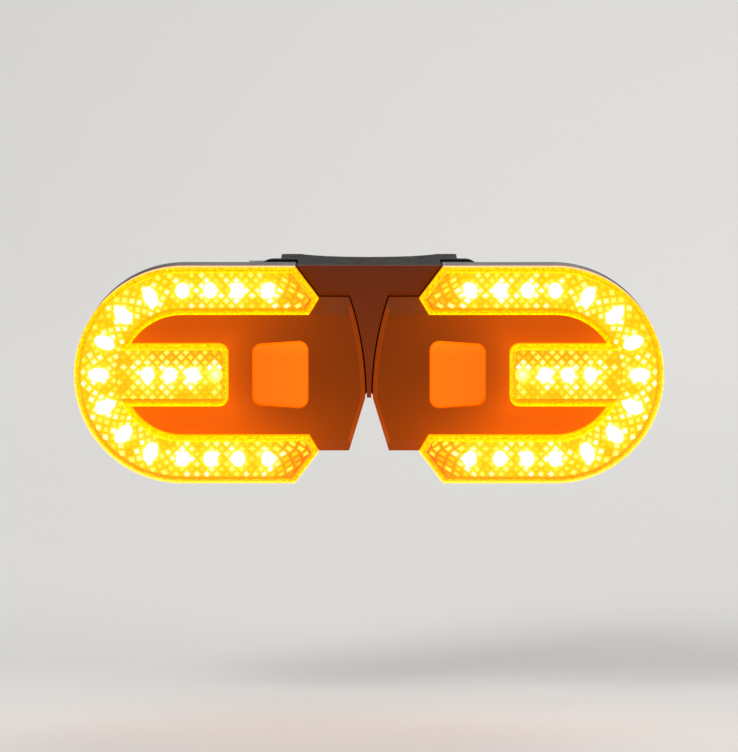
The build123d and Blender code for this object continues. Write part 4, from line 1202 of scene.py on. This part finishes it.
# %% [markdown]
# ## Finishes of the small parts
#
# The boards, the battery and the metal parts keep their CAD shapes. Most of them only show where a light
# is opened or through the charging socket, but each still gets the finish of the real thing. Metals differ
# in colour and in how evenly they mirror. The strap's pin is turned steel, and the rings that run round it
# blur what it mirrors. They are drawn much coarser than they are. Gold plate on the board's pins is yellow
# and a little cloudy, bright nickel on the socket is smoother, and the battery's foil has soft dents.

# %% Metals
RING_MM = 3.0
RING_DEPTH_MM = 0.005
turned_steel, tree, shader = new_finish("stainless steel, turned", "#b4b4b6", Metallic=1.0)
place = add(tree, "TexCoord").outputs["Object"]
wave = {"Vector": place, "Scale": 1 / (RING_MM * MM), "Distortion": 1.5}
rings = add(tree, "TexWave", wave, bands_direction="Z").outputs["Fac"]
add(tree, "MapRange", [rings, 0.0, 1.0, 0.2, 0.4], shader.inputs["Roughness"])
add(tree, "Bump", {"Height": rings, "Distance": RING_DEPTH_MM * MM}, shader.inputs["Normal"])
brass = new_finish("brass, gold plated", "#d9b36a", (0.18, 0.34, 0.5), Metallic=1.0)[0]
nickel = new_finish("steel, bright nickel plated", "#c9c4ba", (0.12, 0.3, 0.7), Metallic=1.0)[0]
foil_dents = (0.06, 2.0, 1.0)
foil = new_finish("aluminium laminate, embossed", "#b5b8bd", (0.28, 0.48, 1.5), foil_dents, Metallic=1.0)[0]
dress(turned_steel, "strap_pin")
dress(brass, "board_pins")
dress(nickel, "usb_socket", "battery_tabs")
dress(foil, "battery")

# %% [markdown]
# A circuit board's solder mask is a glossy paint. White mask is nearly even. Green mask is lighter over
# copper, so a grid of light fields with dark lines between them stands for the copper. The diodes'
# packages glow through their clear resin. Moulded epoxy is a dull black, natural nylon is a half dull
# ivory, and the seal's silicone is a flat grey. Die-cut foam shows its cells, drawn from the distance to
# scattered points.

# %% Boards and what sits on them
COPPER_FIELD_MM, COPPER_GAP, COPPER_DEPTH_MM = 6.0, 0.03, 0.03
FOAM_CELL_MM, FOAM_DEPTH_MM = 0.4, 0.08
white_board = new_finish(
    "circuit board, white solder mask", ("#e2ddd0", "#f1eee6", 2.0), 0.35, (0.02, 0.8, 2.0), IOR=1.5
)[0]
green_board, tree, shader = new_finish("circuit board, green solder mask over copper", None, 0.3, IOR=1.5)
place = add(tree, "TexCoord").outputs["Object"]
upright = add(tree, "Mapping", {"Vector": place, "Rotation": (QUARTER, 0.0, 0.0)})
grid = {"Vector": upright, "Scale": 1 / (COPPER_FIELD_MM * MM), "Mortar Size": COPPER_GAP}
gaps = add(tree, "TexBrick", grid).outputs["Fac"]
tones = {"Factor": gaps, "A": linear("#155c34"), "B": linear("#0d4124")}
add(tree, "Mix", tones, shader.inputs["Base Color"], data_type="RGBA")
add(tree, "Bump", {"Height": gaps, "Distance": COPPER_DEPTH_MM * MM}, shader.inputs["Normal"])
diode_package, tree, shader = new_finish(
    "white ceramic package under clear resin", "#fff2d8", 0.3, IOR=1.53, Emission_Color=(1.0, 0.7, 0.3, 1.0)
)
patches(tree, 1.0, 1.5, 2.0, into=shader.inputs["Emission Strength"])
epoxy = new_finish("black epoxy, moulded", "#1d1d1f", (0.42, 0.6, 0.6), (0.01, 0.2, 2.0), IOR=1.55)[0]
ivory_nylon = new_finish("ivory nylon, moulded", "#ddd6c4", (0.38, 0.55, 0.8), IOR=1.53)[0]
seal_silicone = new_finish("grey silicone, moulded", "#7d7e82", (0.48, 0.64, 1.0), IOR=1.41)[0]
foam, tree, shader = new_finish("grey foam, die cut", None, 0.95, IOR=1.4)
place = add(tree, "TexCoord").outputs["Object"]
cells = add(tree, "TexVoronoi", {"Vector": place, "Scale": 1 / (FOAM_CELL_MM * MM)})
tones = {"Factor": cells, "A": linear("#3f3f42"), "B": linear("#6c6c70")}
add(tree, "Mix", tones, shader.inputs["Base Color"], data_type="RGBA")
add(tree, "Bump", {"Height": cells, "Distance": FOAM_DEPTH_MM * MM}, shader.inputs["Normal"])
dress(white_board, "led_board")
dress(green_board, "main_board")
dress(diode_package, "led_chips")
dress(epoxy, "board_chips", "switch_body")
dress(ivory_nylon, "switch_plunger")
dress(seal_silicone, "shell_seal")
dress(foam, "battery_pad")

# %% [markdown]
# ## Floor, lights and camera
#
# The object hangs free above a pale floor that curves up into a backdrop. The lamps are large, so that
# their light is soft, and weak enough that colours come out about as they are written. The camera looks
# straight at the lights' faces and a little down, through a long lens, as in the photograph.

# %% Floor
FLOOR_DROP = 70.0
FLOOR_HALF = 2500.0
COVE_RADIUS = 600.0
COVE_DEPTH = 900.0


def floor_sweep():
    """A level strip, a quarter circle up and a wall, as one grid: along x, and along that path."""
    turn = np.linspace(0, QUARTER, 24)
    curve_y = COVE_DEPTH + COVE_RADIUS * np.sin(turn)
    curve_z = COVE_RADIUS * (1 - np.cos(turn))
    path_y = np.concatenate([[-FLOOR_HALF], curve_y, [COVE_DEPTH + COVE_RADIUS]])
    path_z = np.concatenate([[0.0], curve_z, [FLOOR_HALF]]) - FLOOR_DROP
    x, y, z = np.broadcast_arrays(np.array([[-FLOOR_HALF], [FLOOR_HALF]]), path_y, path_z)
    points = np.stack([x, y, z], axis=-1).reshape(-1, 3)
    return points, [face[::-1] for face in grid_faces(2, len(path_y), False)]


# White paper is matt, and only its dullness changes a little from place to place.
paper = new_finish("white paper, matt", "#e6e4e0", (0.86, 0.94, 40.0), IOR=1.45)[0]
floor_points, floor_faces = floor_sweep()
floor_mesh = bpy.data.meshes.new("floor")
floor_mesh.from_pydata((floor_points * MM).tolist(), [], floor_faces)
floor_mesh.shade_smooth()
floor_mesh.materials.append(paper)
floor = bpy.data.objects.new("floor", floor_mesh)
bpy.context.scene.collection.objects.link(floor)

# %% World and lamps
ROOM_LIGHT = 0.42
LAMPS = {
    "key": ((-0.7, -0.9, 0.9), 0.7, 9.0),
    "fill": ((0.9, -0.8, 0.5), 0.8, 4.0),
    "rear": ((0.3, 1.0, 0.9), 0.8, 6.0),
}
LAMP_TARGET = Vector((0.0, -0.02, LIGHTS_Z * MM))
world = bpy.data.worlds.new("soft room")
bpy.context.scene.world = world
world.use_nodes = True
world.node_tree.nodes["Background"].inputs["Color"].default_value = linear("#f4f6fa")
world.node_tree.nodes["Background"].inputs["Strength"].default_value = ROOM_LIGHT


def lamp(name, place, size, watts):
    """A square area lamp in metres, turned to face the middle of the pair."""
    data = bpy.data.lights.new(name, "AREA")
    data.size, data.energy = size, watts
    made = bpy.data.objects.new(name, data)
    made.location = place
    made.rotation_mode = "QUATERNION"
    made.rotation_quaternion = (LAMP_TARGET - Vector(place)).to_track_quat("-Z", "Y")
    bpy.context.scene.collection.objects.link(made)
    print("lamp:", name, watts, "W")


for lamp_name, settings in LAMPS.items():
    lamp(lamp_name, *settings)


# %% Camera
PHOTO_WIDTH, PHOTO_HEIGHT = 738, 752
CAMERA_RISE = math.radians(5.0)
CAMERA_DISTANCE = 1.1
OBJECT_SHARE = 0.8
SENSOR_WIDTH = 36.0
camera_data = bpy.data.cameras.new("camera")
camera = bpy.data.objects.new("camera", camera_data)
bpy.context.scene.collection.objects.link(camera)
bpy.context.scene.camera = camera
aim = Vector((0.0, -LENS_FRONT * MM, LIGHTS_Z * MM))
camera.location = aim + Vector((0.0, -math.cos(CAMERA_RISE), math.sin(CAMERA_RISE))) * CAMERA_DISTANCE
camera.rotation_mode = "QUATERNION"
camera.rotation_quaternion = (aim - camera.location).to_track_quat("-Z", "Y")
frame_height = 2 * POD_END * MM / OBJECT_SHARE * PHOTO_HEIGHT / PHOTO_WIDTH
camera_data.sensor_width = SENSOR_WIDTH
camera_data.lens = SENSOR_WIDTH * CAMERA_DISTANCE / frame_height
print("the camera's lens", round(camera_data.lens), "mm")

# %% Finish
bpy.context.scene.view_settings.view_transform = "Standard"
bpy.context.view_layer.update()
